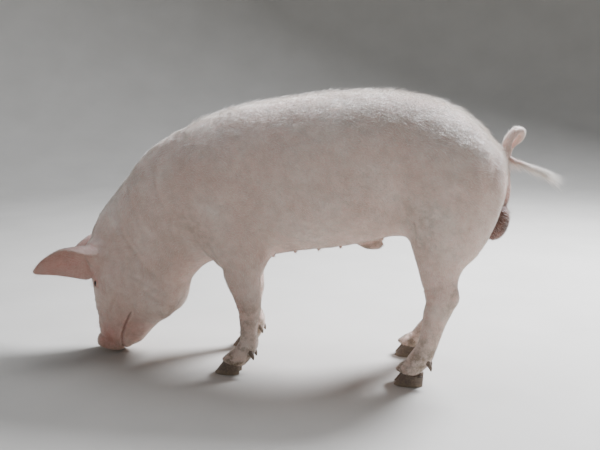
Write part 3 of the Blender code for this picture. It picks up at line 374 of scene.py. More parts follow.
# The camera: place, what it points at, lens and sensor width in millimetres.
CAMERA = ((0.43625 + MIDDLE_X, -2.47411, 0.95), (MIDDLE_X, 0.0, 0.458), 48.0, 36.0)
# The backdrop: how far its flat floor reaches, the radius of the curve up from it, its wall's height,
# its sides and the step of its curve in degrees.
FLOOR_RADIUS, COVE, WALL_HEIGHT, FLOOR_SIDES, COVE_STEP = 4.0, 3.0, 5.0, 96, 7.5
# The dim light from all round: colour and strength.
SKY = ("#A4B4CC", 0.30)
# The lamps: place, what each points at, diameter, watts and colour.
LAMPS = (
    ("back_light", (1.9, 1.7, 2.9), (0.35, 0.0, 0.6), 1.3, 620, "#ECF2FF"),
    ("top_light", (0.3, 0.7, 3.9), (0.1, 0.1, 0.5), 2.4, 110, "#EFF4FF"),
    ("front_fill", (-1.5, -3.9, 1.7), (-0.1, 0.0, 0.4), 3.2, 10, "#F4F6FF"),
)


def linear(hex_colour):
    """An sRGB hex colour as linear red, green, blue and 1."""
    found = []
    for i in (1, 3, 5):
        share = int(hex_colour[i : i + 2], 16) / 255
        found.append(share / 12.92 if share <= 0.04045 else ((share + 0.055) / 1.055) ** 2.4)
    return (*found, 1.0)


def set_inputs(tree, node, inputs):
    """Sets a node's inputs, given by name or number, each to a value or linked to a socket."""
    for socket, value in dict(inputs).items():
        if isinstance(value, bpy.types.NodeSocket):
            tree.links.new(value, node.inputs[socket])
        else:
            node.inputs[socket].default_value = value


def add_node(tree, kind, inputs=(), out=0, stops=(), **settings):
    """One shader node with its settings, its inputs and its ramp's stops; gives one of its outputs."""
    made = tree.nodes.new("ShaderNode" + kind)
    for name, value in settings.items():
        setattr(made, name, value)
    for _ in stops[2:]:
        made.color_ramp.elements.new(0.5)
    for number, (place, colour) in enumerate(stops):
        made.color_ramp.elements[number].position = place
        made.color_ramp.elements[number].color = linear(colour)
    set_inputs(tree, made, inputs if isinstance(inputs, dict) else enumerate(inputs))
    return made.outputs[out]


def new_material(name):
    """A material, a call that adds a node to it, and a call that sets its shader's sockets."""
    made = bpy.data.materials.new(name)
    made.use_nodes = True
    tree = made.node_tree
    return made, partial(add_node, tree), partial(set_inputs, tree, tree.nodes["Principled BSDF"])


def marked(node, breakup):
    """What the skin and its bristles share: place, flush, the scrotum's painted shade, and how strongly
    dust and dried mud show, with the painted shade under the sheath. The mud breaks up over 30 mm."""
    place = node("TexCoord", out="Object")
    marks = node("Attribute", out="Color", attribute_name="markings")
    flush, soil_and_shade, scrotum_shade = node("SeparateColor", (marks,)).node.outputs
    crumb = node("TexNoise", {"Vector": place, "Scale": 1 / 0.030, "Detail": 6.0, "Roughness": 0.68})
    # The dust and mud shares also carry the painted shade under the sheath.
    dust_and_shade = node("Math", (soil_and_shade, 0.34), operation="MULTIPLY")
    patches = node("MapRange", (crumb, 0.44, 0.60, 0.0, breakup))
    return place, flush, scrotum_shade, dust_and_shade, node("Math", (soil_and_shade, patches), operation="MULTIPLY")


def living_skin():
    """Pig skin, alive and thinly haired: it looks pale pink and slightly translucent, whiter where fat
    lies under it and flushed where it is thin, with a soft dull gloss that turns wet on the snout.

    Its colour drifts over 140 mm and mottles over 18 mm. The down between the bristles is 0.05 mm
    thick and is drawn as flecks of 1.6 mm, so that it shows. The lattice of creases is about 2 mm wide,
    drawn 2.8 mm, and the wrinkles are 6.5 mm apart.
    """
    made, node, surface = new_material("pig skin")
    place, flush, scrotum_shade, dust_and_shade, crust_and_shade = marked(node, 0.9)
    moist = node("Attribute", out="Alpha", attribute_name="markings")
    broad = node("TexNoise", {"Vector": place, "Scale": 1 / 0.14, "Detail": 4.0, "Roughness": 0.55})
    fine = node("TexNoise", {"Vector": place, "Scale": 1 / 0.018, "Detail": 5.0, "Roughness": 0.6})
    down = node("TexNoise", {"Vector": place, "Scale": 1 / 0.0016, "Detail": 2.0})
    mottle = node("MapRange", (fine, 0.42, 0.68, 0.0, 0.34))
    thin = node("Math", (1.0, flush), operation="SUBTRACT", use_clamp=True)
    fleck = node("Math", (node("MapRange", (down, 0.40, 0.62, 0.0, 0.40)), thin), operation="MULTIPLY")
    blood = node("Math", (flush, node("MapRange", (fine, 0.2, 0.8, 0.60, 1.0))), operation="MULTIPLY")
    # Dark browns on the scrotum: painted shade of its place between the hams.
    bag_shade = node("ValToRGB", (fine,), stops=((0.30, "#4A302B"), (0.52, "#6C473E"), (0.70, "#8A6155")))
    # Mud browns, which also colour the painted shade under the sheath.
    mud = node("ValToRGB", (fine,), stops=((0.3, "#64543F"), (0.7, "#8E7C64")))
    colour = node("ValToRGB", (broad,), stops=((0.30, "#D6AFA1"), (0.50, "#E2C2B5"), (0.70, "#EDD8CD")))
    tints = ((mottle, linear("#C98F83")), (fleck, linear("#EFE7DB")), (blood, linear("#C67E72")))
    for share, tint in (*tints, (scrotum_shade, bag_shade), (dust_and_shade, linear("#A99A86")), (crust_and_shade, mud)):
        colour = node("Mix", {0: share, 6: colour, 7: tint}, 2, data_type="RGBA")
    dull = node("MapRange", (fine, 0.3, 0.7, 0.46, 0.62))
    rough = node("Math", (dull, node("Math", (moist, -0.26), operation="MULTIPLY")), operation="ADD")
    lattice = {"Vector": place, "Scale": 1 / 0.0028}
    cells = node("TexVoronoi", lattice, "Distance", feature="DISTANCE_TO_EDGE")
    wrinkle = node("TexNoise", {"Vector": place, "Scale": 1 / 0.0065, "Detail": 4.0, "Roughness": 0.6})
    height = node("Math", (cells, 0.38, wrinkle), operation="MULTIPLY_ADD")
    height = node("Math", (crust_and_shade, 0.5, height), operation="MULTIPLY_ADD")
    bump = node("Bump", {"Strength": 0.60, "Distance": 0.0012, "Height": height})
    surface({"Base Color": colour, "Roughness": rough, "Normal": bump, "IOR": 1.40})
    surface({"Specular IOR Level": 0.45, "Sheen Weight": 0.12, "Sheen Roughness": 0.4})
    surface({"Subsurface Weight": 0.10, "Subsurface Scale": 0.006})
    surface({"Subsurface Radius": (1.0, 0.36, 0.22)})
    return made


def bristle_keratin():
    """White pig bristle, clear keratin that grew without pigment: it looks creamy white and glossy, and
    it takes the mud and the painted shade of the skin under it. Single bristles differ, so the tint
    changes every 4 mm."""
    made, node, surface = new_material("white bristle")
    place, flush, scrotum_shade, dust_and_shade, crust_and_shade = marked(node, 0.85)
    single = node("TexNoise", {"Vector": place, "Scale": 1 / 0.004, "Detail": 2.0})
    pink = node("Math", (flush, 0.22), operation="MULTIPLY")
    # The scrotum's painted shade, half as strong on its bristles.
    brown = node("Math", (scrotum_shade, 0.5), operation="MULTIPLY")
    creams = ((0.30, "#E6DACA"), (0.52, "#F4EEE4"), (0.75, "#FBF8F2"))
    colour = node("ValToRGB", (single,), stops=creams)
    for share, tint in ((pink, "#E3C0B4"), (brown, "#8B6A5E"), (dust_and_shade, "#B3A48F"), (crust_and_shade, "#85745E")):
        colour = node("Mix", {0: share, 6: colour, 7: linear(tint)}, 2, data_type="RGBA")
    surface({"Base Color": colour, "Roughness": 0.34, "IOR": 1.55, "Specular IOR Level": 0.5})
    return made


def claw_horn():
    """Claw horn, keratin worn by walking: it looks grey brown and matt, with growth rings 2.6 mm apart,
    fine grain over 6 mm and a paler, scuffed edge in the lowest 16 mm."""
    made, node, surface = new_material("claw horn")
    place = node("TexCoord", out="Object")
    fine = node("TexNoise", {"Vector": place, "Scale": 1 / 0.006, "Detail": 5.0, "Roughness": 0.6})
    growth = {"Vector": place, "Scale": 1 / 0.0026 / math.pi, "Distortion": 2.2, "Detail": 2.0}
    growth["Detail Scale"] = 60.0
    rings = node("TexWave", growth, "Fac", wave_type="BANDS", bands_direction="Z")
    band = node("Math", (rings, 0.35), operation="MULTIPLY")
    scuff = node("MapRange", (node("SeparateXYZ", (place,), "Z"), 0.016, 0.002, 0.0, 0.65))
    colour = node("ValToRGB", (fine,), stops=((0.28, "#3A2E26"), (0.52, "#5C4B3E"), (0.76, "#83705C")))
    for share, tint in ((band, "#978570"), (scuff, "#8A7A64")):
        colour = node("Mix", {0: share, 6: colour, 7: linear(tint)}, 2, data_type="RGBA")
    rough = node("MapRange", (fine, 0.3, 0.7, 0.42, 0.68))
    height = node("Math", (rings, 0.5, fine), operation="MULTIPLY_ADD")
    bump = node("Bump", {"Strength": 0.5, "Distance": 0.0010, "Height": height})
    surface({"Base Color": colour, "Roughness": rough, "Normal": bump, "IOR": 1.54})
    return made


def wet_eye():
    """A living eye under its film of tears: it looks nearly black, a brown iris round the pupil with a
    dull white edge, and takes one sharp glint. The iris's streaks are 1.2 mm wide."""
    made, node, surface = new_material("wet eye")
    gaze = node("Attribute", out="Fac", attribute_name="gaze")
    place = node("TexCoord", out="Object")
    streak = node("TexNoise", {"Vector": place, "Scale": 1 / 0.0012, "Detail": 3.0})
    around = node("Math", (streak, 0.05, gaze), operation="MULTIPLY_ADD")
    iris = ((0.22, "#030202"), (0.31, "#2E1B10"), (0.60, "#5C3A22"), (0.68, "#1B110C"))
    colour = node("ValToRGB", (around,), stops=(*iris, (0.76, "#85705F"), (0.95, "#A5857A")))
    surface({"Base Color": colour, "Roughness": 0.12, "IOR": 1.38})
    surface({"Coat Weight": 1.0, "Coat Roughness": 0.03})
    return made


def painted_floor():
    """A painted studio floor, rolled matt: it looks pale, even and dull, and mottles over 350 mm."""
    made, node, surface = new_material("pale floor")
    place = node("TexCoord", out="Object")
    tone = node("TexNoise", {"Vector": place, "Scale": 1 / 0.35, "Detail": 5.0})
    colour = node("ValToRGB", (tone,), stops=((0.3, "#B9B4AA"), (0.7, "#C0BBB1")))
    surface({"Base Color": colour, "Roughness": 0.9, "IOR": 1.50})
    return made


def smooth_rows(rows, per_span):
    """Rows of numbers, with more rows between them on one smooth curve through all of them."""
    rows = np.array(rows, float)
    ends = np.vstack([2 * rows[0] - rows[1], rows, 2 * rows[-1] - rows[-2]])
    steps = np.arange(per_span)[:, None] / per_span
    spans = []
    for before, start, end, after in zip(ends, ends[1:], ends[2:], ends[3:]):
        slope = end - before
        bend = 2 * before - 5 * start + 4 * end - after
        twist = 3 * (start - end) + after - before
        spans.append(start + 0.5 * (slope * steps + bend * steps**2 + twist * steps**3))
    return np.vstack([*spans, rows[-1:]])


def unit(vectors):
    """Vectors of length 1."""
    return vectors / np.linalg.norm(vectors, axis=-1, keepdims=True)


def on_side(place, side):
    """Places given as (x, half track, z), on one side of the body."""
    return np.array(place) * (1, side, 1)


def rows_inside(points, low, high):
    """Which of the points lie inside a box."""
    return np.flatnonzero(((points > low) & (points < high)).all(axis=1))


def nearest_span(points, line):
    """Which span of a line of points is nearest to each point, how far along it, and how far off."""
    start, step = line[:-1], np.diff(line, axis=0)
    share = (points @ step.T - (start * step).sum(axis=1)) / (step**2).sum(axis=1)
    share = np.clip(share, 0, 1)
    gap2 = np.zeros_like(share)
    for axis in range(line.shape[1]):
        gap2 += (points[:, axis, None] - start[:, axis] - share * step[:, axis]) ** 2
    span = gap2.argmin(axis=1)
    rows = np.arange(len(points))
    return span, share[rows, span], np.sqrt(gap2[rows, span])


def tube_faces(rings, sides):
    """The faces between equal rings of points."""
    faces = []
    for i in range(rings - 1):
        for j in range(sides):
            k = (j + 1) % sides
            faces.append((i * sides + j, i * sides + k, (i + 1) * sides + k, (i + 1) * sides + j))
    return faces


def closed_rings(rings, tips):
    """Points and faces of a closed shell over equal rings, with a point at each end."""
    sides, points = len(rings[0]), np.vstack([*rings, tips])
    faces = tube_faces(len(rings), sides)
    first, last = len(points) - 2, len(points) - 1
    top = (len(rings) - 1) * sides
    for j in range(sides):
        k = (j + 1) % sides
        faces.append((first, k, j))
        faces.append((last, top + j, top + k))
    return points, faces


def ellipsoid(centre, axes, radii, rings, sides):
    """Points and faces of an ellipsoid with its poles along the last axis."""
    rows, angles = [], np.arange(sides) * 2 * math.pi / sides
    for latitude in np.linspace(0, math.pi, rings + 2)[1:-1]:
        flat, level = math.sin(latitude), np.full(sides, -math.cos(latitude))
        ring = np.stack([flat * np.cos(angles), flat * np.sin(angles), level], axis=1)
        rows.append((ring * radii) @ axes + centre)
    pole = radii[2] * axes[2]
    return closed_rings(rows, [centre - pole, centre + pole])


class Loft:
    """A smooth tube through stations: centre, half width, half height up and down, and fullness.

    Across the tube, the side axis stays as close to +Y as it can, and up is dorsal on the trunk and
    forward on a leg.
    """

    def __init__(self, stations, caps, blend, per_span=6):
        rows = smooth_rows(stations, per_span)
        self.centre, self.size = rows[:, :3], rows[:, 3:]
        self.caps, self.blend = caps, blend
        self.along = unit(np.gradient(self.centre, axis=0))
        side = np.array([0.0, 1.0, 0.0])
        self.side = unit(side - (self.along @ side)[:, None] * self.along)
        self.up = np.cross(self.side, self.along)
        reach = self.size[:, :3].max() + max(caps) + blend + 0.02
        self.low = self.centre.min(axis=0) - reach
        self.high = self.centre.max(axis=0) + reach

    def nearest(self, points):
        """The span of the middle line nearest to each point, and how far along the span."""
        return nearest_span(points, self.centre)[:2]

    def distance(self, points):
        """About how far each point is outside the tube, and negative inside it."""
        span, part = self.nearest(points)
        part = part[:, None]

        def mixed(table):
            return table[span] * (1 - part) + table[span + 1] * part

        offset = points - mixed(self.centre)
        across = (offset * mixed(self.side)).sum(axis=1)
        rise = (offset * mixed(self.up)).sum(axis=1)
        past = (offset * mixed(self.along)).sum(axis=1)
        ahead = (span == 0) & (past < 0)
        behind = (span == len(self.centre) - 2) & (past > 0)
        past = np.where(ahead, past / self.caps[0], np.where(behind, past / self.caps[1], 0))
        wide, high, low, fullness = mixed(self.size).T
        tall = np.where(rise > 0, high, low)
        radius = np.linalg.norm(offset, axis=1) + 1e-9
        ratio = np.abs(across / wide) ** fullness + np.abs(rise / tall) ** fullness
        ratio = (ratio + np.abs(past) ** fullness) ** (1 / fullness) + 1e-9
        return radius - radius / ratio

    def shell(self, sides=20, domes=(0.5, 0.87)):
        """The tube as points and faces, with a rounded cap at each end."""
        rings = []
        angles = np.arange(sides) * 2 * math.pi / sides
        count = len(self.centre)
        order = [(0, -d, self.caps[0]) for d in reversed(domes)]
        order += [(i, 0.0, 0.0) for i in range(count)]
        order += [(count - 1, d, self.caps[1]) for d in domes]
        for i, dome, cap in order:
            wide, high, low, fullness = self.size[i]
            shrink = math.sqrt(1 - dome * dome)
            cosine, sine = np.cos(angles), np.sin(angles)
            tall = np.where(sine > 0, high, low)
            ratio = np.abs(cosine / wide) ** fullness + np.abs(sine / tall) ** fullness
            reach = ratio ** (-1 / fullness)
            ring = self.centre[i] + cap * dome * self.along[i]
            ring = ring + (shrink * reach * cosine)[:, None] * self.side[i]
            rings.append(ring + (shrink * reach * sine)[:, None] * self.up[i])
        tips = [
            self.centre[0] - self.caps[0] * self.along[0],
            self.centre[-1] + self.caps[1] * self.along[-1],
        ]
        return closed_rings(rings, tips)


class Mass:
    """A rounded mass with three radii, tilted about the lateral axis."""

    def __init__(self, centre, radii, tilt, blend):
        self.centre, self.radii, self.blend = np.array(centre), np.array(radii), blend
        turn = math.radians(tilt)
        self.turn = np.array(Matrix.Rotation(turn, 3, "Y"))
        reach = self.radii.max() + blend + 0.02
        self.low, self.high = self.centre - reach, self.centre + reach

    def distance(self, points):
        local = (points - self.centre) @ self.turn
        near = np.linalg.norm(local / self.radii, axis=1) + 1e-9
        slope = np.linalg.norm(local / self.radii**2, axis=1) + 1e-9
        return near * (near - 1) / slope

    def shell(self):
        return ellipsoid(self.centre, self.turn.T, self.radii, 9, 16)


def spine_stations():
    """The spine's table as loft stations, each centred on its widest line."""
    rows = []
    for dorsal, ventral, half_width, widest, fullness in SPINE:
        top, bottom = np.array([dorsal[0], 0, dorsal[1]]), np.array([ventral[0], 0, ventral[1]])
        centre = bottom + (top - bottom) * widest
        depth = np.linalg.norm(top - bottom)
        rows.append([*centre, half_width, depth * (1 - widest), depth * widest, fullness])
    return rows


def lean_at(lean, side, z):
    """How far a limb is off its table's place at one height."""
    heights, shifts = zip(*lean)
    return float(np.interp(z, heights, shifts)) if side == RIGHT else 0.0


def limb_stations(table, side, lean):
    """A limb's table as loft stations."""
    rows = []
    for x, track, z, depth, width in table:
        rows.append([x + lean_at(lean, side, z), side * track, z, width, depth, depth, 2.1])
    return rows


def body_parts():
    """Everything that the boar's outline is blended from, the two halves of the scrotum last."""
    parts = [Loft(spine_stations(), SPINE_CAPS, 0.0)]
    disc = [(x, 0, z, wide, deep, deep, 2.3) for x, z, wide, deep in SNOUT]
    parts.append(Loft(disc, SNOUT_CAPS, 0.006))
    for side in SIDES:
        for table, lean in ((FORELEG, FORE_LEAN), (HINDLEG, HIND_LEAN)):
            parts.append(Loft(limb_stations(table, side, lean), LIMB_CAPS, LIMB_BLEND))
        parts += [Mass(on_side(centre, side), *shape) for _, centre, *shape in PAIRED_MASSES]
    parts += [Mass(*shape) for _, *shape in MIDLINE_MASSES]
    return parts + [Mass(on_side(SCROTUM[1], side), *SCROTUM[2:]) for side in SIDES]


def blended(parts, points):
    """About how far each point is outside the blended body."""
    found = np.full(len(points), 1.0)
    for part in parts:
        near = rows_inside(points, part.low, part.high)
        if not len(near):
            continue
        here, there = part.distance(points[near]), found[near]
        width = max(part.blend, 1e-6)
        overlap = np.clip(width - np.abs(here - there), 0, None) / width
        found[near] = np.minimum(here, there) - overlap**2 * width / 4
    for centre, reach, height in SWELLS:
        for side in SIDES:
            off = (points - on_side(centre, side)) / np.array(reach)
            found -= height * np.exp(-(off**2).sum(axis=1))
    return found


def coat_depth(points):
    """How far the skin lies under the solids' surface: least on the face and the feet."""
    x, _, z = points.T
    body = np.interp(z, (0.10, 0.32), (0, 1)) * np.interp(x, (-0.66, -0.50), (0, 1))
    return COAT_DEPTH[1] + (COAT_DEPTH[0] - COAT_DEPTH[1]) * body


def in_chunks(work, points, size=24000):
    """A piece of work done on some of the points at a time, to spare memory."""
    return np.concatenate([work(points[i : i + size]) for i in range(0, len(points), size)])


def field(parts, points):
    return in_chunks(lambda some: blended(parts, some), points)


def slope_of(parts, points, here, probe=0.0008):
    """The way out of the blend at each point, from its values a small step ahead."""
    ahead = [field(parts, points + step) for step in np.eye(3) * probe]
    return (np.stack(ahead, axis=1) - here[:, None]) / probe


def settle(parts, points, rounds, longest=0.012):
    """The points moved along the slope of the blend until they lie at the skin's depth."""
    points, depth = points.copy(), coat_depth(points)
    for i in range(rounds):
        here = field(parts, points)
        if i % 3 == 0:
            slope = slope_of(parts, points, here)
        move = (here + depth)[:, None] * slope / ((slope**2).sum(axis=1)[:, None] + 1e-6)
        size = np.linalg.norm(move, axis=1)[:, None] + 1e-9
        points -= move * np.minimum(1, longest / size)
    return points


def new_object(name, data):
    thing = bpy.data.objects.new(name, data)
    bpy.context.scene.collection.objects.link(thing)
    return thing


def object_from(name, points, faces):
    """A closed mesh facing outwards."""
    mesh = bpy.data.meshes.new(name)
    mesh.from_pydata([tuple(p) for p in points], [], faces)
    shape = bmesh.new()
    shape.from_mesh(mesh)
    bmesh.ops.recalc_face_normals(shape, faces=shape.faces)
    shape.to_mesh(mesh)
    shape.free()
    return new_object(name, mesh)


def read_array(rows, name, width, kind=float):
    """One property of a mesh's points, corners or triangles as an array."""
    found = np.empty(len(rows) * width, kind)
    rows.foreach_get(name, found)
    return found.reshape(-1, width)


def points_of(thing):
    return read_array(thing.data.vertices, "co", 3)


def normals_of(thing):
    return read_array(thing.data.vertex_normals, "vector", 3)


def triangles_of(thing, name="vertices"):
    thing.data.calc_loop_triangles()
    return read_array(thing.data.loop_triangles, name, 3, int)


def set_points(thing, points):
    thing.data.vertices.foreach_set("co", points.ravel())
    thing.data.update()


def remove(thing):
    mesh = thing.data
    bpy.data.objects.remove(thing)
    bpy.data.meshes.remove(mesh)


def add_modifier(thing, kind, **settings):
    """One modifier, applied at once."""
    modifier = thing.modifiers.new(kind.lower(), kind)
    for name, value in settings.items():
        setattr(modifier, name, value)
    graph = bpy.context.evaluated_depsgraph_get()
    made = bpy.data.meshes.new_from_object(thing.evaluated_get(graph))
    thing.modifiers.clear()
    old, thing.data = thing.data, made
    bpy.data.meshes.remove(old)


def boolean(thing, others, operation):
    """One Boolean with all the others, which are then removed."""
    group = bpy.data.collections.new("operands")
    bpy.context.scene.collection.children.link(group)
    for other in others:
        bpy.context.scene.collection.objects.unlink(other)
        group.objects.link(other)
    bpy.context.view_layer.update()
    settings = {"operation": operation, "operand_type": "COLLECTION", "collection": group}
    add_modifier(thing, "BOOLEAN", solver="MANIFOLD", **settings)
    for other in others:
        remove(other)
    bpy.data.collections.remove(group)


def joined(name, shells):
    """Several shells in one mesh object, not yet united."""
    points, faces, count = [], [], 0
    for shell_points, shell_faces in shells:
        points.append(shell_points)
        faces += [tuple(i + count for i in face) for face in shell_faces]
        count += len(shell_points)
    return object_from(name, np.vstack(points), faces)


def finer_where(thing, chosen_at):
    """Cuts in four every face whose middle is chosen."""
    shape = bmesh.new()
    shape.from_mesh(thing.data)
    middles = np.array([face.calc_center_median()[:] for face in shape.faces])
    shape.faces.ensure_lookup_table()
    edges = set()
    for i in np.flatnonzero(chosen_at(middles)):
        edges.update(shape.faces[i].edges)
    bmesh.ops.subdivide_edges(shape, edges=list(edges), cuts=1, use_grid_fill=True)
    bmesh.ops.triangulate(shape, faces=[face for face in shape.faces if len(face.verts) > 4])
    shape.to_mesh(thing.data)
    shape.free()
    thing.data.update()


def at_face(points):
    return (points[:, 0] < FACE_END) & (points[:, 2] < FACE_TOP)


def at_muzzle_and_eyes(points):
    mirrored = np.abs(points) * (0, 1, 0) + points * (1, 0, 1)
    by_eye = np.linalg.norm(mirrored - np.array(EYE_CENTRE), axis=1) < 0.042
    return by_eye | ((points[:, 2] < 0.175) & (points[:, 0] < -0.515))


def to_line(points, line):
    """How far each point is from a line of points, and how far along it the nearest place is."""
    span, share, gap = nearest_span(points, line)
    return gap, (span + share) / (len(line) - 1)


def crease(points, line, width, depth):
    """A wavering hollow along a line, with a low rise on each side, that fades out at its ends."""
    rise = np.zeros(len(points))
    near = rows_inside(points, line.min(axis=0) - 5 * width, line.max(axis=0) + 5 * width)
    if len(near):
        gap, along = to_line(points[near], line)
        phase = 90 * line[0].sum()
        waver = np.sin(points[near] @ (np.array([0.9, 0.6, 0.8]) / width) * 0.55 + phase)
        gap = np.abs(gap + 0.28 * width * waver)
        fade = np.clip(np.sin(math.pi * np.clip(along, 0.02, 0.98)) * 1.8, 0, 1)
        fade = fade * (0.84 + 0.16 * np.sin(along * 11 + phase))
        hollow = -depth * np.exp(-((gap / width) ** 2))
        rim = 0.30 * depth * np.exp(-(((gap - 2.3 * width) / (1.1 * width)) ** 2))
        rise[near] = (hollow + rim) * fade
    return rise


def fold_lines(parts):
    """Every crease's line laid on the skin, with its width and depth."""
    found = []
    for places, width, depth in FOLDS:
        rows = smooth_rows(places, 7)
        for side in SIDES:
            found.append((settle(parts, on_side(rows, side), 5), width, depth))
    for limb, x_front, z_front, x_back, z_back, width, depth in JOINT_CREASES:
        lean = FEET[limb][1]
        for side in SIDES:
            shift = lean_at(lean, side, z_front)
            for outward in (-1, 1):
                middle_x, middle_z = (x_front + x_back) / 2, (z_front + z_back) / 2
                places = (
                    (x_front + shift, side * TRACK, z_front),
                    (middle_x + shift, side * TRACK + outward * 0.034, middle_z),
                    (x_back + shift, side * TRACK + outward * 0.012, z_back),
                )
                found.append((settle(parts, smooth_rows(places, 6), 6), width, depth))
    return found


def waves(points, size, seed, count, spread):
    """The sum of some waves of about one size at each point, in ways and phases from the seed."""
    rng = np.random.default_rng(seed)
    found = np.zeros(len(points))
    for _ in range(count):
        way = unit(rng.normal(size=3)) * rng.uniform(*spread) * 2 * math.pi / size
        found += np.sin(points @ way + rng.uniform(0, 2 * math.pi))
    return found


def slow_swell(points, seed, size, height):
    """A gentle unevenness of muscle and fat under the skin, with lumps of one size."""
    return waves(points, size, seed, 9, (0.7, 1.5)) * height / 3


def wander(points, share, size, seed):
    """A slowly changing number between about -share and share, for locks that part and whorl."""
    return share * (waves(points, size, seed, 7, (0.6, 1.6)) / 3.2)


def mouth_groove(points):
    """The closed mouth: a narrow groove between two soft lips."""
    (width, depth), (height, off, breadth) = MOUTH_GROOVE, LIPS
    gap, along = to_line(points[:, [0, 2]], np.array(MOUTH))
    near = (points[:, 0] < FACE_END) & (points[:, 2] < 0.20)
    reach = np.clip((1 - along) * 5, 0, 1)
    hollow = -depth * np.exp(-((gap / width) ** 2))
    lips = height * np.exp(-(((gap - off) / breadth) ** 2))
    return np.where(near, (hollow + lips) * reach, 0.0)


def folded(thing, parts):
    """The skin moved in and out along its own slope by its folds, its mouth and its unevenness."""
    points, normals = points_of(thing), normals_of(thing)
    rise = sum(slow_swell(points, *lump) for lump in LUMPS)
    quiet = np.interp(points[:, 2], (0.0, 0.20), (0.3, 1.0))
    rise = rise * quiet + mouth_groove(points)
    for line, width, depth in fold_lines(parts):
        rise += crease(points, line, width, depth)
    set_points(thing, points + normals * rise[:, None])


def distance_to(places, points):
    """The distance of each point to the nearest of some places, or 1 where none is near."""
    found = np.full(len(points), 1.0)
    if not len(places):
        return found
    near = rows_inside(points, places.min(axis=0) - 0.05, places.max(axis=0) + 0.05)
    for i in range(0, len(near), 4000):
        some = near[i : i + 4000]
        gap2 = ((points[some, None, :] - places[None, :, :]) ** 2).sum(axis=2)
        found[some] = np.sqrt(gap2.min(axis=1))
    return found


def smooth_graded(thing, graded, factor, rounds):
    """Smooths a mesh at some of its points, each lot of them with a weight of its own."""
    group = thing.vertex_groups.new(name="graded")
    for rows, weight in graded:
        group.add(rows.tolist(), weight, "REPLACE")
    add_modifier(thing, "SMOOTH", factor=factor, iterations=rounds, vertex_group="graded")
    thing.vertex_groups.clear()


def blend_in(thing, others, operation, reach, rounds, factor=0.5, only_seam=False):
    """A Boolean, then smoothing close to the points that it brought, or close to its seam only."""
    before = np.vstack([points_of(each) for each in ((thing, *others) if only_seam else (thing,))])
    boolean(thing, others, operation)
    now, size = points_of(thing), 1e-6
    old = {tuple(key) for key in np.round(before / size).astype(np.int64)}
    places = now[[tuple(key) not in old for key in np.round(now / size).astype(np.int64)]]
    near, graded = distance_to(places, now), []
    for low, high, weight in SEAM_WEIGHTS:
        graded.append((np.flatnonzero((near >= low * reach) & (near < high * reach)), weight))
    smooth_graded(thing, graded, factor, rounds)


def ease_trunk(skin):
    """Evens out the trunk, the neck and the forehead, and leaves the legs and the muzzle crisp."""
    _, y, z = points_of(skin).T
    share = np.interp(z, (0.24, 0.34), (0, 1))
    share = share * np.where(np.abs(y) < 0.13, 1, np.interp(z, (0.36, 0.44), (0, 1)))
    graded = [(np.flatnonzero(share > level - 0.13), level) for level in (0.25, 0.5, 0.75, 1.0)]
    smooth_graded(skin, graded, 0.5, 22)


def fine_skin(parts):
    """The skin of the trunk, the head and the legs as one fine closed mesh, with its folds."""
    skin = joined("boar_skin", [part.shell() for part in parts])
    add_modifier(skin, "REMESH", mode="VOXEL", voxel_size=SKIN_VOXEL)
    set_points(skin, settle(parts, points_of(skin), 4))
    add_modifier(skin, "SMOOTH", factor=0.5, iterations=3)
    for chosen_at in (at_face, at_muzzle_and_eyes):
        finer_where(skin, chosen_at)
        add_modifier(skin, "SMOOTH", factor=0.5, iterations=1)
    set_points(skin, settle(parts, points_of(skin), 2))
    ease_trunk(skin)
    folded(skin, parts)
    return skin


def ear_frame(side):
    """An ear's root and tip, the way along it, the way its cup faces and the way across it."""
    root, tip = on_side(EAR_ROOT, side), on_side(EAR_TIP, side)
    along, facing = unit(tip - root), on_side(EAR_FACING, side)
    facing = unit(facing - (facing @ along) * along)
    return root, tip, along, facing, np.cross(along, facing)


def fine_ear(side):
    """The ear's cupped blade, with ribs inside the cup and a rounded, slightly wavy edge."""
    root, tip, _, facing, beside = ear_frame(side)
    rings = []
    for share, half_width, half_angle, thickness, bend in smooth_rows(EAR, 7):
        arc = math.radians(half_angle)
        radius = half_width / math.sin(min(arc, math.pi / 2))
        centre = root + (tip - root) * share + facing * bend
        outer, inner = [], []
        for turn in np.linspace(-arc, arc, 34):
            out = turn / arc
            half = thickness * 0.46 * math.sqrt(max(1 - 0.75 * out**4, 0.02))
            half *= 0.35 + 0.65 * (1 - out**8)
            wave = 0.0018 * out**4 * math.sin(share * 15 + side + 2 * out) * math.sin(math.pi * share)
            rib = 0.0
            for middle, breadth, height in EAR_RIBS:
                rib += height * math.exp(-(((out - middle) / breadth) ** 2))
            rib *= math.sin(math.pi * min(share * 1.1, 1)) ** 2
            reach = math.sin(turn) * beside - math.cos(turn) * facing
            place = centre + radius * (reach + EAR_SET * facing) + wave * reach
            outer.append(place + half * reach)
            inner.append(place - (half + rib) * reach)
        rings.append(np.array(outer + inner[::-1]))
    sides = len(rings[0])
    faces = tube_faces(len(rings), sides)
    for base in (0, (len(rings) - 1) * sides):
        for j in range(sides // 2 - 1):
            faces.append((base + j, base + j + 1, base + sides - 2 - j, base + sides - 1 - j))
    return object_from("ear", np.vstack(rings), faces)


def tail_tube():
    """The tail as a smooth tube of evenly spaced stations, ringed near its root."""
    rows = smooth_rows(TAIL, 10)
    reach = np.concatenate([[0], np.cumsum(np.linalg.norm(np.diff(rows[:, :3], axis=0), axis=1))])
    places = np.linspace(0, reach[-1], 110)
    rows = np.stack([np.interp(places, reach, column) for column in rows.T], axis=1)
    ripple = 1 - 0.035 * np.maximum(0, np.sin(places * 2 * math.pi / TAIL_RINGS[0])) ** 3
    ripple = np.where(places < TAIL_RINGS[1], ripple, 1)
    radii = (rows[:, 3] - 0.0004) * ripple
    return Loft([(*row[:3], r, r, r, 2.0) for row, r in zip(rows, radii)], (0.0, 0.005), 0.0, 1)


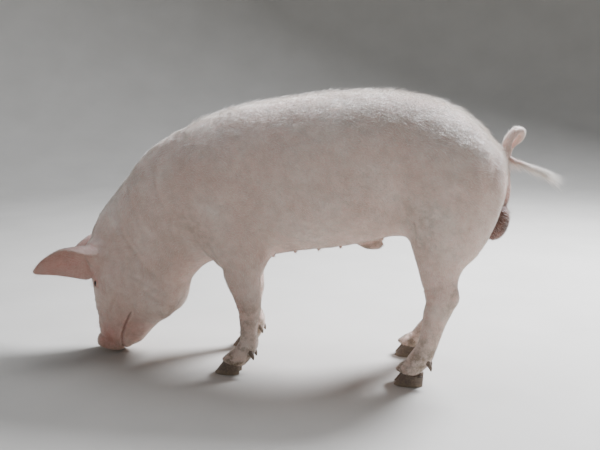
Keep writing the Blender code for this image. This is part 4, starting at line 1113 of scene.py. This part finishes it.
def fine_teats(parts):
    """The two rows of small teats along the belly, each with a blunt tip."""
    found = []
    for x in TEATS:
        for side in SIDES:
            skin = settle(parts, np.array([[x, side * TEAT_TRACK, 0.40]]), 6)[0]
            down = unit(np.array([0, side * 0.25, -1.0]))
            rows = []
            for height, share in TEAT_PROFILE:
                radius = TEAT_RADIUS * share
                rows.append((*(skin + down * height), radius, radius, radius, 2.0))
            found.append(object_from("teat", *Loft(rows, (0.001, 0.0022), 0.0, 3).shell(14)))
    return found


def eye_frame(parts, side):
    """The eyeball's middle under the skin, the way it looks, and the opening's long and short axes."""
    look = unit(on_side(EYE_LOOK, side))
    skin = settle(parts, on_side([EYE_CENTRE], side), 6)[0] + look * COAT_DEPTH[1]
    long = np.array([0.22, 0.0, 0.97])
    long = unit(long - (long @ look) * look)
    return skin - look * EYE_SINK, look, long, np.cross(look, long)


def ball(name, centre, axes, radii, rings=22, sides=44):
    """An ellipsoid as an object of its own."""
    return object_from(name, *ellipsoid(centre, np.array(axes), np.array(radii), rings, sides))


def almond(count=44):
    """The outline of the opening between the lids."""
    wide, high = EYE_OPENING
    outline = []
    for i in range(count):
        turn = 2 * math.pi * i / count
        outline.append((wide * math.cos(turn), high * math.sin(turn) * abs(math.sin(turn)) ** 0.35))
    return np.array(outline)


def prism(name, outline, across, axis, start, stop, origin=(0, 0, 0)):
    """A closed prism: a flat outline given in two axes, from start to stop along the third."""
    base = np.array([np.array(across[0]) * u + np.array(across[1]) * v for u, v in outline]) + origin
    count = len(outline)
    points = np.vstack([base + np.array(axis) * start, base + np.array(axis) * stop])
    faces = [tuple(reversed(range(count))), tuple(range(count, 2 * count)), *tube_faces(2, count)]
    return object_from(name, points, faces)


def ring_tube(name, path, outward, radius, sides=8):
    """A closed tube round a closed path."""
    along = unit(np.roll(path, -1, axis=0) - np.roll(path, 1, axis=0))
    beside = unit(np.cross(along, outward))
    above = np.cross(beside, along)
    points, count = [], len(path)
    for i in range(count):
        for j in range(sides):
            turn = 2 * math.pi * j / sides
            reach = math.cos(turn) * beside[i] + math.sin(turn) * above[i]
            points.append(path[i] + radius[i] * reach)
    faces = []
    for face in tube_faces(count + 1, sides):
        faces.append(tuple(place % (count * sides) for place in face))
    return object_from(name, np.array(points), faces)


def lid_parts(parts, side):
    """The lids' bulge, what is cut out of it, the lids' rims and their line, and the eye's frame."""
    centre, look, long, short = eye_frame(parts, side)
    lid = EYE_RADIUS + LID_THICKNESS
    axes, (wide, high) = (long, short, look), (lid * share for share in LID_BULGE)
    bulge = ball("lid", centre, axes, (wide, high, lid))
    outline = almond()
    opening = prism("opening", outline, (long, short), look, 0.004, 0.030, centre)
    socket = ball("socket", centre, axes, (EYE_RADIUS + GAP,) * 3)
    u, v = outline.T
    w = np.sqrt(np.maximum(1 - (u / wide) ** 2 - (v / high) ** 2, 0)) * lid
    path = centre + u[:, None] * long + v[:, None] * short + (w - 0.0006)[:, None] * look
    rim = ring_tube("rim", path, look, 0.0011 + 0.0004 * np.abs(v) / EYE_OPENING[1])
    return bulge, [opening, socket], rim, path, (centre, look, long, short)


def nostril_cutters():
    """The snout's two oval openings, each wider inside."""
    apart, wide, deep, reach = NOSTRIL
    cutters = []
    for side in SIDES:
        into = unit(np.array([0.10, -side * 0.12, 1.0]))
        middle = np.array([SNOUT[-1][0] - 0.002, side * apart, 0.0]) + into * 0.017
        radii = (wide * 1.15, deep * 1.1, reach * 1.2)
        cutters.append(ball("nostril", middle, ((0, 1, 0), (1, 0, 0), into), radii, 14, 28))
    return cutters


def coronet_height(foot, x):
    """The height of the sloped line where the claws meet the leg."""
    toe, heel, _ = foot
    return CORONET_FRONT + (CORONET_BACK - CORONET_FRONT) * (x - toe) / (heel - toe)


def below_coronet(foot, side, shift):
    """What is cut off a leg under its coronet."""
    margin, half, under = 0.06, 0.07, -0.05
    front, back = foot[0] - margin, foot[1] + margin
    outline = [(x + shift, coronet_height(foot, x)) for x in (front, back)]
    outline += [(back + shift, under), (front + shift, under)]
    middle = side * TRACK
    return prism("under", outline, ((1, 0, 0), (0, 0, 1)), (0, 1, 0), middle - half, middle + half)


def fine_claw(name, foot, side, shift, inner):
    """Half a hoof: a rounded wall with low growth ridges, a flat sole, and a top under the skin."""
    (toe, heel, _), (apart, half) = foot, CLAW_RIDGES
    outward = -side if inner else side
    outline = smooth_rows((*CLAW_OUTLINE, CLAW_OUTLINE[0]), 4)[:-1]
    rings = []
    for height, toe_back, width in smooth_rows(CLAW_LEVELS, 5):
        height = min(max(height, 0), 1)
        front = toe + toe_back
        back = heel - 0.004 * (1 - height) - 0.002 * height
        middle = np.array([(front + back) / 2, side * TRACK + outward * (CLEFT + CLAW_WIDTH) / 2])
        ring = []
        for u, v in outline:
            x = front + (back - front) * u
            off = CLEFT / 2 + 0.0022 * (1 - u) + CLAW_WIDTH * (0.5 + (v - 0.5) * width)
            y = side * TRACK + outward * off
            z = height * (coronet_height(foot, x) - GAP)
            inwards = unit(middle - (x, y))
            ridge = half * (1 - math.cos(z * 2 * math.pi / apart)) * (0.04 < height < 0.97)
            ring.append((x + inwards[0] * ridge + shift, y + inwards[1] * ridge, z))
        rings.append(np.array(ring))
    return object_from(name, *closed_rings(rings, [rings[0].mean(axis=0), rings[-1].mean(axis=0)]))


def fine_dewclaw(name, foot, side, shift, inner):
    """A small claw behind the pastern, pointing down and back."""
    outward = -side if inner else side
    stations = []
    for back, off, z, radius in DEWCLAW:
        x, y = foot[2] + shift + back, side * TRACK + outward * (0.016 + off)
        stations.append((x, y, z, radius, radius * 0.8, radius * 0.8, 2.2))
    return object_from(name, *Loft(stations, (0.004, 0.0016), 0.0, 6).shell(24, (0.4, 0.75, 0.93)))


def lay(thing, material, replaced):
    """Moves a made piece to the model's frame, and gives it its finish and the nodes it stands for."""
    set_points(thing, points_of(thing) + (MIDDLE_X, 0, 0))
    thing.data.materials.clear()
    thing.data.materials.append(material)
    thing.data.shade_smooth()
    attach(thing, "root")
    if replaced:
        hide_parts(*replaced)


def bumps(points, places):
    """How strongly each point lies in some rounded places: (x, half track, z), reach, strength."""
    mirrored = np.stack([points[:, 0], np.abs(points[:, 1]), points[:, 2]], axis=1)
    found = np.zeros(len(points))
    for place, reach, strength in places:
        off = (mirrored - np.array(place)) / np.array(reach)
        found += strength * np.exp(-(off**2).sum(axis=1))
    return found


def markings(points):
    """Flush, soil with painted shade, the scrotum's painted shade and moist for each point, the same for
    the skin and for the bristles on it.
    """
    flush, (top, fade, strength) = np.clip(bumps(points, FLUSHED), 0, 1), FOOT_MUD_AND_DARKENING
    # Mud on the feet that fades up to 0.23 m, so that the legs are darker towards the floor.
    feet = np.clip((top - points[:, 2]) / fade, 0, 1) ** 1.1 * (points[:, 0] > TRUNK_START)
    # The mud places hold the painted shade under the sheath too.
    soil_and_shade = np.clip(DUST + bumps(points, MUD_AND_SHADE) + strength * feet, 0, 1)
    # The scrotum's painted shade: dark brown behind x 0.56, where it sits between the hams.
    x, track, z = SCROTUM[1]
    bag_shade = (((x + 0.006, track * 0.5, z - 0.006), (0.048, 0.060, 0.070), 2.2),)
    scrotum_shade = np.clip(bumps(points, bag_shade), 0, 1) * np.clip((points[:, 0] - 0.560) / 0.02, 0, 1)
    moist = np.clip(bumps(points, MOIST), 0, 1)
    return np.stack([flush, soil_and_shade, scrotum_shade, moist], axis=1)


def write_markings(mesh, values):
    made = mesh.attributes.new("markings", "FLOAT_COLOR", "POINT")
    made.data.foreach_set("color", values.astype(np.float32).ravel())


def lie_of(parts, points, normals, on_ear, on_tail):
    """The way the coat lies: back from the snout to the rump and a little down, down the legs, and
    out along the ears and the tail."""
    spine = parts[0]
    span = in_chunks(lambda some: spine.nearest(some)[0], points)
    lie = -spine.along[span]
    fall = np.clip((points[:, 0] - TRUNK_START) / 0.2, 0, 1)
    lie[:, 2] -= 0.55 * (np.abs(normals[:, 2]) < 0.92) * fall
    for leg in parts[2:]:
        if not isinstance(leg, Loft):
            continue
        near = rows_inside(points, leg.low, leg.high)
        near = near[points[near, 2] < 0.52]
        if not len(near):
            continue
        close = np.clip(1 - leg.distance(points[near]) / 0.03, 0, 1)
        share = close * np.clip((0.52 - points[near, 2]) / 0.14, 0, 1)
        along = leg.along[leg.nearest(points[near])[0]] + (0.25, 0, 0)
        lie[near] = lie[near] * (1 - share)[:, None] + along * share[:, None]
    ear_way = unit(np.array(EAR_TIP) - np.array(EAR_ROOT))
    for side in SIDES:
        lie[on_ear & (np.sign(points[:, 1]) == side)] = on_side(ear_way, side)
    tube, rows = tail_tube(), np.flatnonzero(on_tail)
    lie[rows] = tube.along[tube.nearest(points[rows])[0]]
    lie = lie - (lie * normals).sum(axis=1)[:, None] * normals
    return unit(lie + 1e-9)


def loin_and_back(points, normals):
    """How far each point faces up on the back, and how far towards the loin it lies."""
    back = np.clip((normals[:, 2] - 0.1) / 0.5, 0, 1) * (points[:, 2] > 0.45)
    return back, np.clip((points[:, 0] + 0.18) / 0.32, 0, 1)


def thickness_of_coat(points, normals, on_ear, on_tail):
    """How many bristles grow for each square centimetre, against the flank's one."""
    x, _, z = points.T
    back, loin = loin_and_back(points, normals)
    belly = np.clip((-normals[:, 2] - 0.3) / 0.4, 0, 1) * (z > 0.25)
    found = 1.0 + back * (0.25 + 0.55 * loin) - 0.45 * belly
    legs, face, scrotum = (z < 0.26) & (x > TRUNK_START), at_face(points), markings(points)[:, 2] > 0.3
    places = ((legs, 1.5), (face, 1.5), (face & (z < 0.085), 0.6), (on_ear, 1.3), (on_tail, 2.6))
    for here, density in (*places, (scrotum, 0.5)):
        found = np.where(here, density, found)
    return found


def bristle_sizes(points, normals, on_ear, on_tail):
    """Length, how far the bristle stands off the skin in degrees, and width."""
    x, _, z = points.T
    back, loin = loin_and_back(points, normals)
    length = 0.0135 + back * (0.005 + 0.004 * loin + 0.004 * (x < -0.15))
    lift = 10 + back * (4 + 5 * loin)
    legs, on_leg = (z < 0.30) & (x > TRUNK_START), np.interp(z, (0.05, 0.30), (0.0065, 0.0120))
    on_face = np.interp(z, (0.03, 0.12, 0.40), (0.0032, 0.0060, 0.0115))
    for here, found in ((legs, on_leg), (at_face(points), on_face), (on_ear, 0.0085), (on_tail, 0.0105)):
        length = np.where(here, found, length)
    return length, lift, np.interp(length, (0.003, 0.012, 0.030), (0.00034, 0.00050, 0.00062))


def spindles(roots, normals, ways, lengths, lifts, widths, rng):
    """Each bristle as a thin closed spindle of six triangles, rooted under the skin and bent once so
    that it lies over."""
    count = len(roots)
    beside = np.cross(normals, ways)
    angle = np.radians(lifts)[:, None]
    start = np.cos(angle) * ways + np.sin(angle) * normals
    low = np.radians(lifts * rng.uniform(-0.25, 0.45, count))[:, None]
    aside = beside * rng.normal(0, 0.14, count)[:, None]
    end = unit(np.cos(low) * ways + np.sin(low) * normals + aside)
    bend = roots + start * (lengths * BEND)[:, None]
    tip = bend + end * (lengths * (1 - BEND))[:, None]
    root = roots - normals * ROOT_DEPTH
    above = unit(np.cross(start, beside))
    rings = []
    for turn in np.radians((90, 210, 330)):
        rings.append(bend + (widths / 2)[:, None] * (math.cos(turn) * beside - math.sin(turn) * above))
    points = np.stack([root, *rings, tip], axis=1).reshape(-1, 3)
    pattern = np.array([[0, 1, 2], [0, 2, 3], [0, 3, 1], [4, 2, 1], [4, 3, 2], [4, 1, 3]])
    faces = (pattern[None] + 5 * np.arange(count)[:, None, None]).reshape(-1, 3)
    return points, faces


def quick_mesh(name, points, faces, patches, marks):
    """A mesh from arrays, with its bake map and its markings, kept above the floor."""
    points[:, 2] = np.maximum(points[:, 2], LEAST_HEIGHT)
    mesh = bpy.data.meshes.new(name)
    mesh.vertices.add(len(points))
    mesh.vertices.foreach_set("co", points.astype(np.float32).ravel())
    mesh.loops.add(faces.size)
    mesh.loops.foreach_set("vertex_index", faces.astype(np.int32).ravel())
    mesh.polygons.add(len(faces))
    mesh.polygons.foreach_set("loop_start", np.arange(0, faces.size, 3, dtype=np.int32))
    mesh.update(calc_edges=True)
    layer = mesh.uv_layers.new(name="OFBake")
    layer.uv.foreach_set("vector", patches[faces.ravel()].astype(np.float32).ravel())
    write_markings(mesh, marks)
    return new_object(name, mesh)


def unwrapped(skin):
    """A plain copy of the skin, unwrapped, to place each bristle's patch of the bake map."""
    copy = new_object("unwrap", skin.data.copy())
    add_modifier(copy, "DECIMATE", ratio=PLAIN_TRIANGLES / len(triangles_of(copy)))
    bpy.context.view_layer.objects.active = copy
    for thing in bpy.context.selected_objects:
        thing.select_set(False)
    copy.select_set(True)
    bpy.ops.object.mode_set(mode="EDIT")
    bpy.ops.mesh.select_all(action="SELECT")
    bpy.ops.uv.smart_project(angle_limit=math.radians(62), island_margin=0.004)
    bpy.ops.object.mode_set(mode="OBJECT")
    points, faces = points_of(copy), triangles_of(copy)
    uv = read_array(copy.data.uv_layers.active.uv, "vector", 2)[triangles_of(copy, "loops")]
    remove(copy)
    return points, faces, uv


def patches_for(roots, plain, corners):
    """A small patch of the bake map for each bristle, at its root's place on the plain unwrap."""
    points, faces, uv = plain
    tree = BVHTree.FromPolygons(points.tolist(), faces.tolist())
    found, index = np.empty((len(roots), 3)), np.empty(len(roots), int)
    for i, root in enumerate(roots.tolist()):
        spot = tree.find_nearest(root)
        found[i], index[i] = spot[0], spot[2]
    a, b, c = (points[faces[index, k]] for k in range(3))
    first, second, off = b - a, c - a, found - a
    d00, d01, d11 = (first**2).sum(axis=1), (first * second).sum(axis=1), (second**2).sum(axis=1)
    d20, d21 = (off * first).sum(axis=1), (off * second).sum(axis=1)
    scale = d00 * d11 - d01**2 + 1e-18
    v, w = (d11 * d20 - d01 * d21) / scale, (d00 * d21 - d01 * d20) / scale
    share = np.clip(np.stack([1 - v - w, v, w], axis=1), 0, 1)
    centres = np.clip((uv[index] * share[:, :, None]).sum(axis=1), 0.002, 0.998)
    return centres[:, None, :] + corners[None]


def scattered(skin, parts, eyes, rng):
    """The coat's roots over the skin, with the skin's slope there and whether it is ear or tail."""
    points, normals, faces = points_of(skin), normals_of(skin), triangles_of(skin)
    corner = points[faces]
    first, second, third = (corner[:, k] for k in range(3))
    area = np.linalg.norm(np.cross(second - first, third - first), axis=1) / 2
    middle = corner.mean(axis=1)
    x, _, z = middle.T
    facing = unit(normals[faces].mean(axis=1) + 1e-9)
    off_body = field(parts, middle) > OFF_BODY
    ear, tail = off_body & (x < FACE_END), off_body & (x > -FACE_END)
    weight = area * thickness_of_coat(middle, facing, ear, tail)
    for centre, look, _, _ in eyes:
        weight[np.linalg.norm(middle - (centre + look * 0.006), axis=1) < EYE_BARE] = 0
    for (top, slope), here in ((BARE_SNOUT, x < FACE_END), (BARE_SOLES, x > TRUNK_START)):
        weight[(z < top) & here & (facing[:, 2] < slope)] = 0
    total = np.cumsum(weight)
    draws = np.arange(BRISTLES) + rng.uniform(0, 1, BRISTLES)
    chosen = np.searchsorted(total, draws * total[-1] / BRISTLES)
    chosen = np.minimum(chosen, len(faces) - 1)
    first, second = rng.uniform(size=(2, BRISTLES))
    over = first + second > 1
    first, second = np.where(over, 1 - first, first), np.where(over, 1 - second, second)
    share = np.stack([1 - first - second, first, second], axis=1)[:, :, None]
    roots = (corner[chosen] * share).sum(axis=1)
    ups = unit((normals[faces[chosen]] * share).sum(axis=1) + 1e-9)
    return roots, ups, ear[chosen], tail[chosen]


def grow_coat(skin, parts, eyes, plain, material):
    """Bristles over the whole skin, following the lie of the coat, with strays along the back."""
    rng = np.random.default_rng(COAT_SEED)
    roots, ups, ears, tails = scattered(skin, parts, eyes, rng)
    ways = lie_of(parts, roots, ups, ears, tails)
    lengths, lifts, widths = bristle_sizes(roots, ups, ears, tails)
    turn = wander(roots, *LIE_DRIFT) + rng.normal(0, 0.17, BRISTLES)
    beside = np.cross(ups, ways)
    ways = unit(ways * np.cos(turn)[:, None] + beside * np.sin(turn)[:, None])
    lengths = lengths * rng.uniform(0.55, 1.15, BRISTLES) * (1 + wander(roots, *LENGTH_DRIFT))
    lifts = lifts * (1 + wander(roots, *LIFT_DRIFT)) + rng.normal(0, 4.5, BRISTLES)
    back = np.clip((ups[:, 2] - 0.15) / 0.5, 0, 1) * (roots[:, 2] > 0.45) * (roots[:, 0] > -0.35)
    stray = rng.uniform(size=BRISTLES) < 0.04 + 0.14 * back
    lifts = np.clip(np.where(stray, lifts * 1.5 + 8 + 24 * back, lifts), 4, 66)
    lengths = np.where(stray, lengths * (1 + 0.45 * back), lengths)
    low = roots[:, 2] - lengths * 0.9 < 0.002
    lengths[low] = np.minimum(lengths[low], np.maximum(roots[low, 2] - 0.002, 0.001))
    widths = widths * rng.uniform(0.8, 1.2, BRISTLES)
    half = PATCH / 2
    corners = np.array([[0, -half], [-half, 0], [0, 0.27 * half], [half, 0], [0, half]])
    patches, marks = patches_for(roots, plain, corners), markings(roots)
    order = np.argsort(roots[:, 0], kind="stable")
    pieces = -(-BRISTLES * 6 // PIECE_TRIANGLES)
    for number, rows in enumerate(np.array_split(order, pieces)):
        chosen = (each[rows] for each in (roots, ups, ways, lengths, lifts, widths))
        made, faces = spindles(*chosen, rng)
        marked = np.repeat(marks[rows], len(corners), axis=0)
        coat = quick_mesh(f"coat_{number + 1}", made, faces, patches[rows].reshape(-1, 2), marked)
        lay(coat, material, ())


def long_hairs(roots, ways, lengths, widths, droop, fan, rng, sections=7):
    """Long hairs as thin closed three-sided spindles of several lengths, hanging a little."""
    count, shares = len(roots), np.linspace(0, 1, sections)
    beside = unit(np.cross(ways, np.array([0.1, 0.3, 1.0])))
    above = np.cross(beside, ways)
    curl = rng.uniform(-1, 1, (count, 2)) * fan[:, None]
    phase = rng.uniform(0, 2 * math.pi, count)
    points = []
    for i, share in enumerate(shares):
        wave = 0.0009 * np.sin(share * 5 + phase) * share
        place = roots + ways * (lengths * share)[:, None]
        place = place + beside * (curl[:, 0] * share**1.4 + wave)[:, None]
        place = place + above * (curl[:, 1] * share**1.4)[:, None]
        place[:, 2] -= droop * share**2
        if i in (0, sections - 1):
            points.append(place[:, None])
            continue
        radius = widths / 2 * (1 - share) ** 0.6
        ring = []
        for turn in np.radians((0, 120, 240)):
            ring.append(place + radius[:, None] * (math.cos(turn) * beside + math.sin(turn) * above))
        points.append(np.stack(ring, axis=1))
    made = np.concatenate(points, axis=1)
    per = made.shape[1]
    pattern = [(0, 1, 2), (0, 2, 3), (0, 3, 1)]
    for base in range(1, per - 4, 3):
        for j in range(3):
            a, b = base + j, base + (j + 1) % 3
            pattern += [(a, a + 3, b), (b, a + 3, b + 3)]
    base = per - 4
    pattern += [(base, per - 1, base + 1), (base + 1, per - 1, base + 2), (base + 2, per - 1, base)]
    faces = (np.array(pattern)[None] + per * np.arange(count)[:, None, None]).reshape(-1, 3)
    return made.reshape(-1, 3), faces, per


def grow_long_hairs(name, roots, ways, lengths, widths, droop, fan, plain, material):
    rng = np.random.default_rng(len(roots) + 5)
    made, faces, per = long_hairs(roots, ways, lengths, widths, droop, fan, rng)
    turns = np.radians(120) * np.arange(per)
    across = np.linspace(-PATCH / 2, PATCH / 2, per)
    patches = patches_for(roots, plain, np.stack([0.4 * PATCH * np.cos(turns), across], axis=1))
    marks = np.repeat(markings(roots), per, axis=0)
    lay(quick_mesh(name, made, faces, patches.reshape(-1, 2), marks), material, ())


def tail_tuft(plain, material):
    """The tail's switch: long white hairs that stream from its last third and droop to the tip."""
    rng = np.random.default_rng(TUFT_SEED)
    tube = tail_tube()
    last, first = len(tube.centre) - 1, 0.66
    station = rng.integers(int(last * first), last + 1, TUFT_HAIRS)
    turn = rng.uniform(0, 2 * math.pi, TUFT_HAIRS)[:, None]
    around = np.cos(turn) * tube.side[station] + np.sin(turn) * tube.up[station]
    roots = tube.centre[station] + around * tube.size[station, :1] * 0.8
    share = (station / last - first) / (1 - first)
    ways = unit(tube.along[station] + around * rng.uniform(0.02, 0.20, TUFT_HAIRS)[:, None])
    lengths = (0.032 + (TUFT_LENGTH - 0.030) * share) * rng.uniform(0.70, 1.05, TUFT_HAIRS)
    droop = lengths * rng.uniform(0.08, 0.36, TUFT_HAIRS)
    widths = np.full(TUFT_HAIRS, 0.00070)
    grow_long_hairs("tail_tuft", roots, ways, lengths, widths, droop, lengths * 0.16, plain, material)


def lashes(eyes, rims, rng):
    """Lashes on the upper lids: root, way, length and width of each."""
    found = []
    for (centre, look, long, short), rim in zip(eyes, rims):
        upward = np.sign(-short[0]) * short
        for place in rim:
            if (place - centre) @ upward < 0.0015:
                continue
            for _ in range(2):
                way = look + 0.75 * upward + long * ((place - centre) @ long) * 22
                way = way + rng.normal(0, 0.10, 3)
                root = place + rng.normal(0, 0.0004, 3)
                found.append((*root, *unit(way), rng.uniform(0.011, 0.018), 0.00040))
    return found


def feelers(parts, rng):
    """The long feelers of the brow, the lips and the chin: root, way, length and width of each."""
    found = []
    for middle in FEELERS:
        for side in SIDES:
            for _ in range(5):
                rough = on_side([middle], side) + rng.normal(0, 0.008, 3)
                root = settle(parts, rough, 5)
                up = unit(slope_of(parts, root, field(parts, root)))[0]
                way = unit(up + np.array([0.05, 0, 0.55]) + rng.normal(0, 0.15, 3))
                found.append((*root[0], *way, rng.uniform(0.016, 0.032), 0.00042))
    return found


def ear_fringe(rng):
    """Longer soft hairs along each ear's edges: root, way, length and width of each."""
    found = []
    for side in SIDES:
        root, tip, along, facing, beside = ear_frame(side)
        rows = smooth_rows(EAR, 7)
        for _ in range(EAR_HAIRS):
            share, half_width, half_angle, _, bend = rows[rng.integers(12, len(rows) - 4)]
            share += rng.uniform(-0.01, 0.01)
            arc = math.radians(half_angle) * rng.uniform(0.90, 0.99) * rng.choice((-1, 1))
            radius = half_width / math.sin(min(math.radians(half_angle), math.pi / 2))
            reach = math.sin(arc) * beside - math.cos(arc) * facing
            place = root + (tip - root) * share + facing * bend + radius * (reach + EAR_SET * facing)
            way = 0.75 * along + 0.55 * np.sign(arc) * beside + 0.25 * facing + rng.normal(0, 0.16, 3)
            found.append((*place, *unit(way), rng.uniform(0.009, 0.019), 0.00038))
    return found


def grow_face_hairs(parts, eyes, rims, plain, material):
    """The lashes, the feelers and the fringe of the ears in one piece."""
    rng = np.random.default_rng(FACE_SEED)
    rows = np.array([*lashes(eyes, rims, rng), *feelers(parts, rng), *ear_fringe(rng)])
    roots, ways, lengths, widths = rows[:, :3], rows[:, 3:6], rows[:, 6], rows[:, 7]
    droop, fan = lengths * 0.12, lengths * 0.10
    grow_long_hairs("lashes_and_feelers", roots, ways, lengths, widths, droop, fan, plain, material)


def eyeball(name, centre, look, long, short):
    """The eyeball, its front swelling a little, with each point's angle from where it looks."""
    eye = ball(name, centre, (long, short, look), (EYE_RADIUS - 0.0001,) * 3, 40, 64)
    points = points_of(eye)
    away = np.arccos(np.clip(unit(points - centre) @ look, -1, 1))
    swell = 0.0007 * np.exp(-((away / 0.42) ** 4))
    set_points(eye, points + unit(points - centre) * swell[:, None])
    made = eye.data.attributes.new("gaze", "FLOAT", "POINT")
    made.data.foreach_set("value", away.astype(np.float32))
    return eye


def whole_skin(parts, lids):
    """The boar's whole skin, with its ears, tail, teats, lids and nostrils, open at the coronets."""
    skin = fine_skin(parts)
    limbs = [*(fine_ear(side) for side in SIDES), object_from("tail", *tail_tube().shell(18))]
    blend_in(skin, limbs, "UNION", 0.016, 10, only_seam=True)
    boolean(skin, fine_teats(parts), "UNION")
    blend_in(skin, [lid[0] for lid in lids], "UNION", 0.007, 8)
    boolean(skin, [cutter for lid in lids for cutter in lid[1]], "DIFFERENCE")
    blend_in(skin, [lid[2] for lid in lids], "UNION", 0.0022, 3, 0.4)
    blend_in(skin, nostril_cutters(), "DIFFERENCE", 0.005, 4)
    cutters = []
    for side in SIDES:
        for foot, lean in FEET.values():
            cutters.append(below_coronet(foot, side, lean_at(lean, side, CLAW_MIDDLE)))
    boolean(skin, cutters, "DIFFERENCE")
    write_markings(skin.data, markings(points_of(skin)))
    return skin


def make_boar():
    """The whole animal: skin, coat, long hairs, eyes, hooves and dewclaws."""
    parts = body_parts()
    lids = [lid_parts(parts, side) for side in SIDES]
    eyes, rims = [lid[4] for lid in lids], [lid[3] for lid in lids]
    skin = whole_skin(parts, lids)
    plain = unwrapped(skin)
    bristle, horn, wet = bristle_keratin(), claw_horn(), wet_eye()
    grow_coat(skin, parts, eyes, plain, bristle)
    tail_tuft(plain, bristle)
    grow_face_hairs(parts, eyes, rims, plain, bristle)
    flesh = ["torso", "rump", "neck", "head", "snout", "scrotum"]
    flesh += ["tail_base", "tail_middle", "tail_tip"]
    for name in ("forearm", "fore_cannon", "gaskin", "hind_cannon", "ear"):
        flesh += [f"{name}_{end}" for end in SIDES.values()]
    lay(skin, living_skin(), flesh)
    for (side, end), eye in zip(SIDES.items(), eyes):
        lay(eyeball(f"eyeball_{end}", *eye), wet, [f"eye_{end}"])
        for leg, (foot, lean) in FEET.items():
            for inner, part in enumerate(("outer", "inner")):
                low, high = (lean_at(lean, side, z) for z in (CLAW_MIDDLE, DEWCLAW_MIDDLE))
                label = f"{leg}_{end}_{part}"
                claw = fine_claw(f"hoof_{label}", foot, side, low, inner)
                lay(claw, horn, [f"claw_{label}"])
                spur = fine_dewclaw(f"dew_{label}", foot, side, high, inner)
                lay(spur, horn, [f"dewclaw_{label}"])


def backdrop():
    """A painted floor that curves up into a wall all round, so that no edge shows behind the boar."""
    profile = [(0.0, 0.0), (FLOOR_RADIUS, 0.0)]
    for turn in np.radians(np.arange(COVE_STEP, 90.1, COVE_STEP)):
        profile.append((FLOOR_RADIUS + COVE * math.sin(turn), COVE * (1 - math.cos(turn))))
    profile.append((FLOOR_RADIUS + COVE, WALL_HEIGHT))
    around = np.arange(FLOOR_SIDES) * 2 * math.pi / FLOOR_SIDES
    points = [(MIDDLE_X, 0.0, 0.0)]
    for radius, z in profile[1:]:
        points += [(MIDDLE_X + radius * math.cos(a), radius * math.sin(a), z) for a in around]
    faces = [(0, 1 + j, 1 + (j + 1) % FLOOR_SIDES) for j in range(FLOOR_SIDES)]
    for face in tube_faces(len(profile) - 1, FLOOR_SIDES):
        faces.append(tuple(place + 1 for place in reversed(face)))
    mesh = bpy.data.meshes.new("studio_floor")
    mesh.from_pydata(points, [], faces)
    mesh.shade_smooth()
    mesh.materials.append(painted_floor())
    new_object("studio_floor", mesh)


def aim(thing, place, target):
    """Puts a lamp or the camera in its place and points it."""
    thing.location = place
    thing.rotation_euler = (Vector(target) - Vector(place)).to_track_quat("-Z", "Y").to_euler()


def area_light(name, place, target, size, watts, colour):
    light = bpy.data.lights.new(name, "AREA")
    light.shape, light.size, light.energy = "DISK", size, watts
    light.color = linear(colour)[:3]
    lamp = new_object(name, light)
    lamp.visible_camera = False
    aim(lamp, place, target)


def set_stage():
    """The backdrop and soft light: a broad lamp behind and above the croup, and a dim fill."""
    backdrop()
    world = bpy.data.worlds.new("studio")
    bpy.context.scene.world = world
    world.use_nodes = True
    sky = world.node_tree
    set_inputs(sky, sky.nodes["Background"], {"Color": linear(SKY[0]), "Strength": SKY[1]})
    for lamp in LAMPS:
        area_light(*lamp)


def set_camera():
    """The camera at the photograph's viewing angle."""
    place, target, length, sensor = CAMERA
    lens = bpy.data.cameras.new("camera")
    lens.lens, lens.sensor_width = length, sensor
    view = new_object("camera", lens)
    aim(view, place, target)
    bpy.context.scene.camera = view


set_camera()
set_stage()
make_boar()
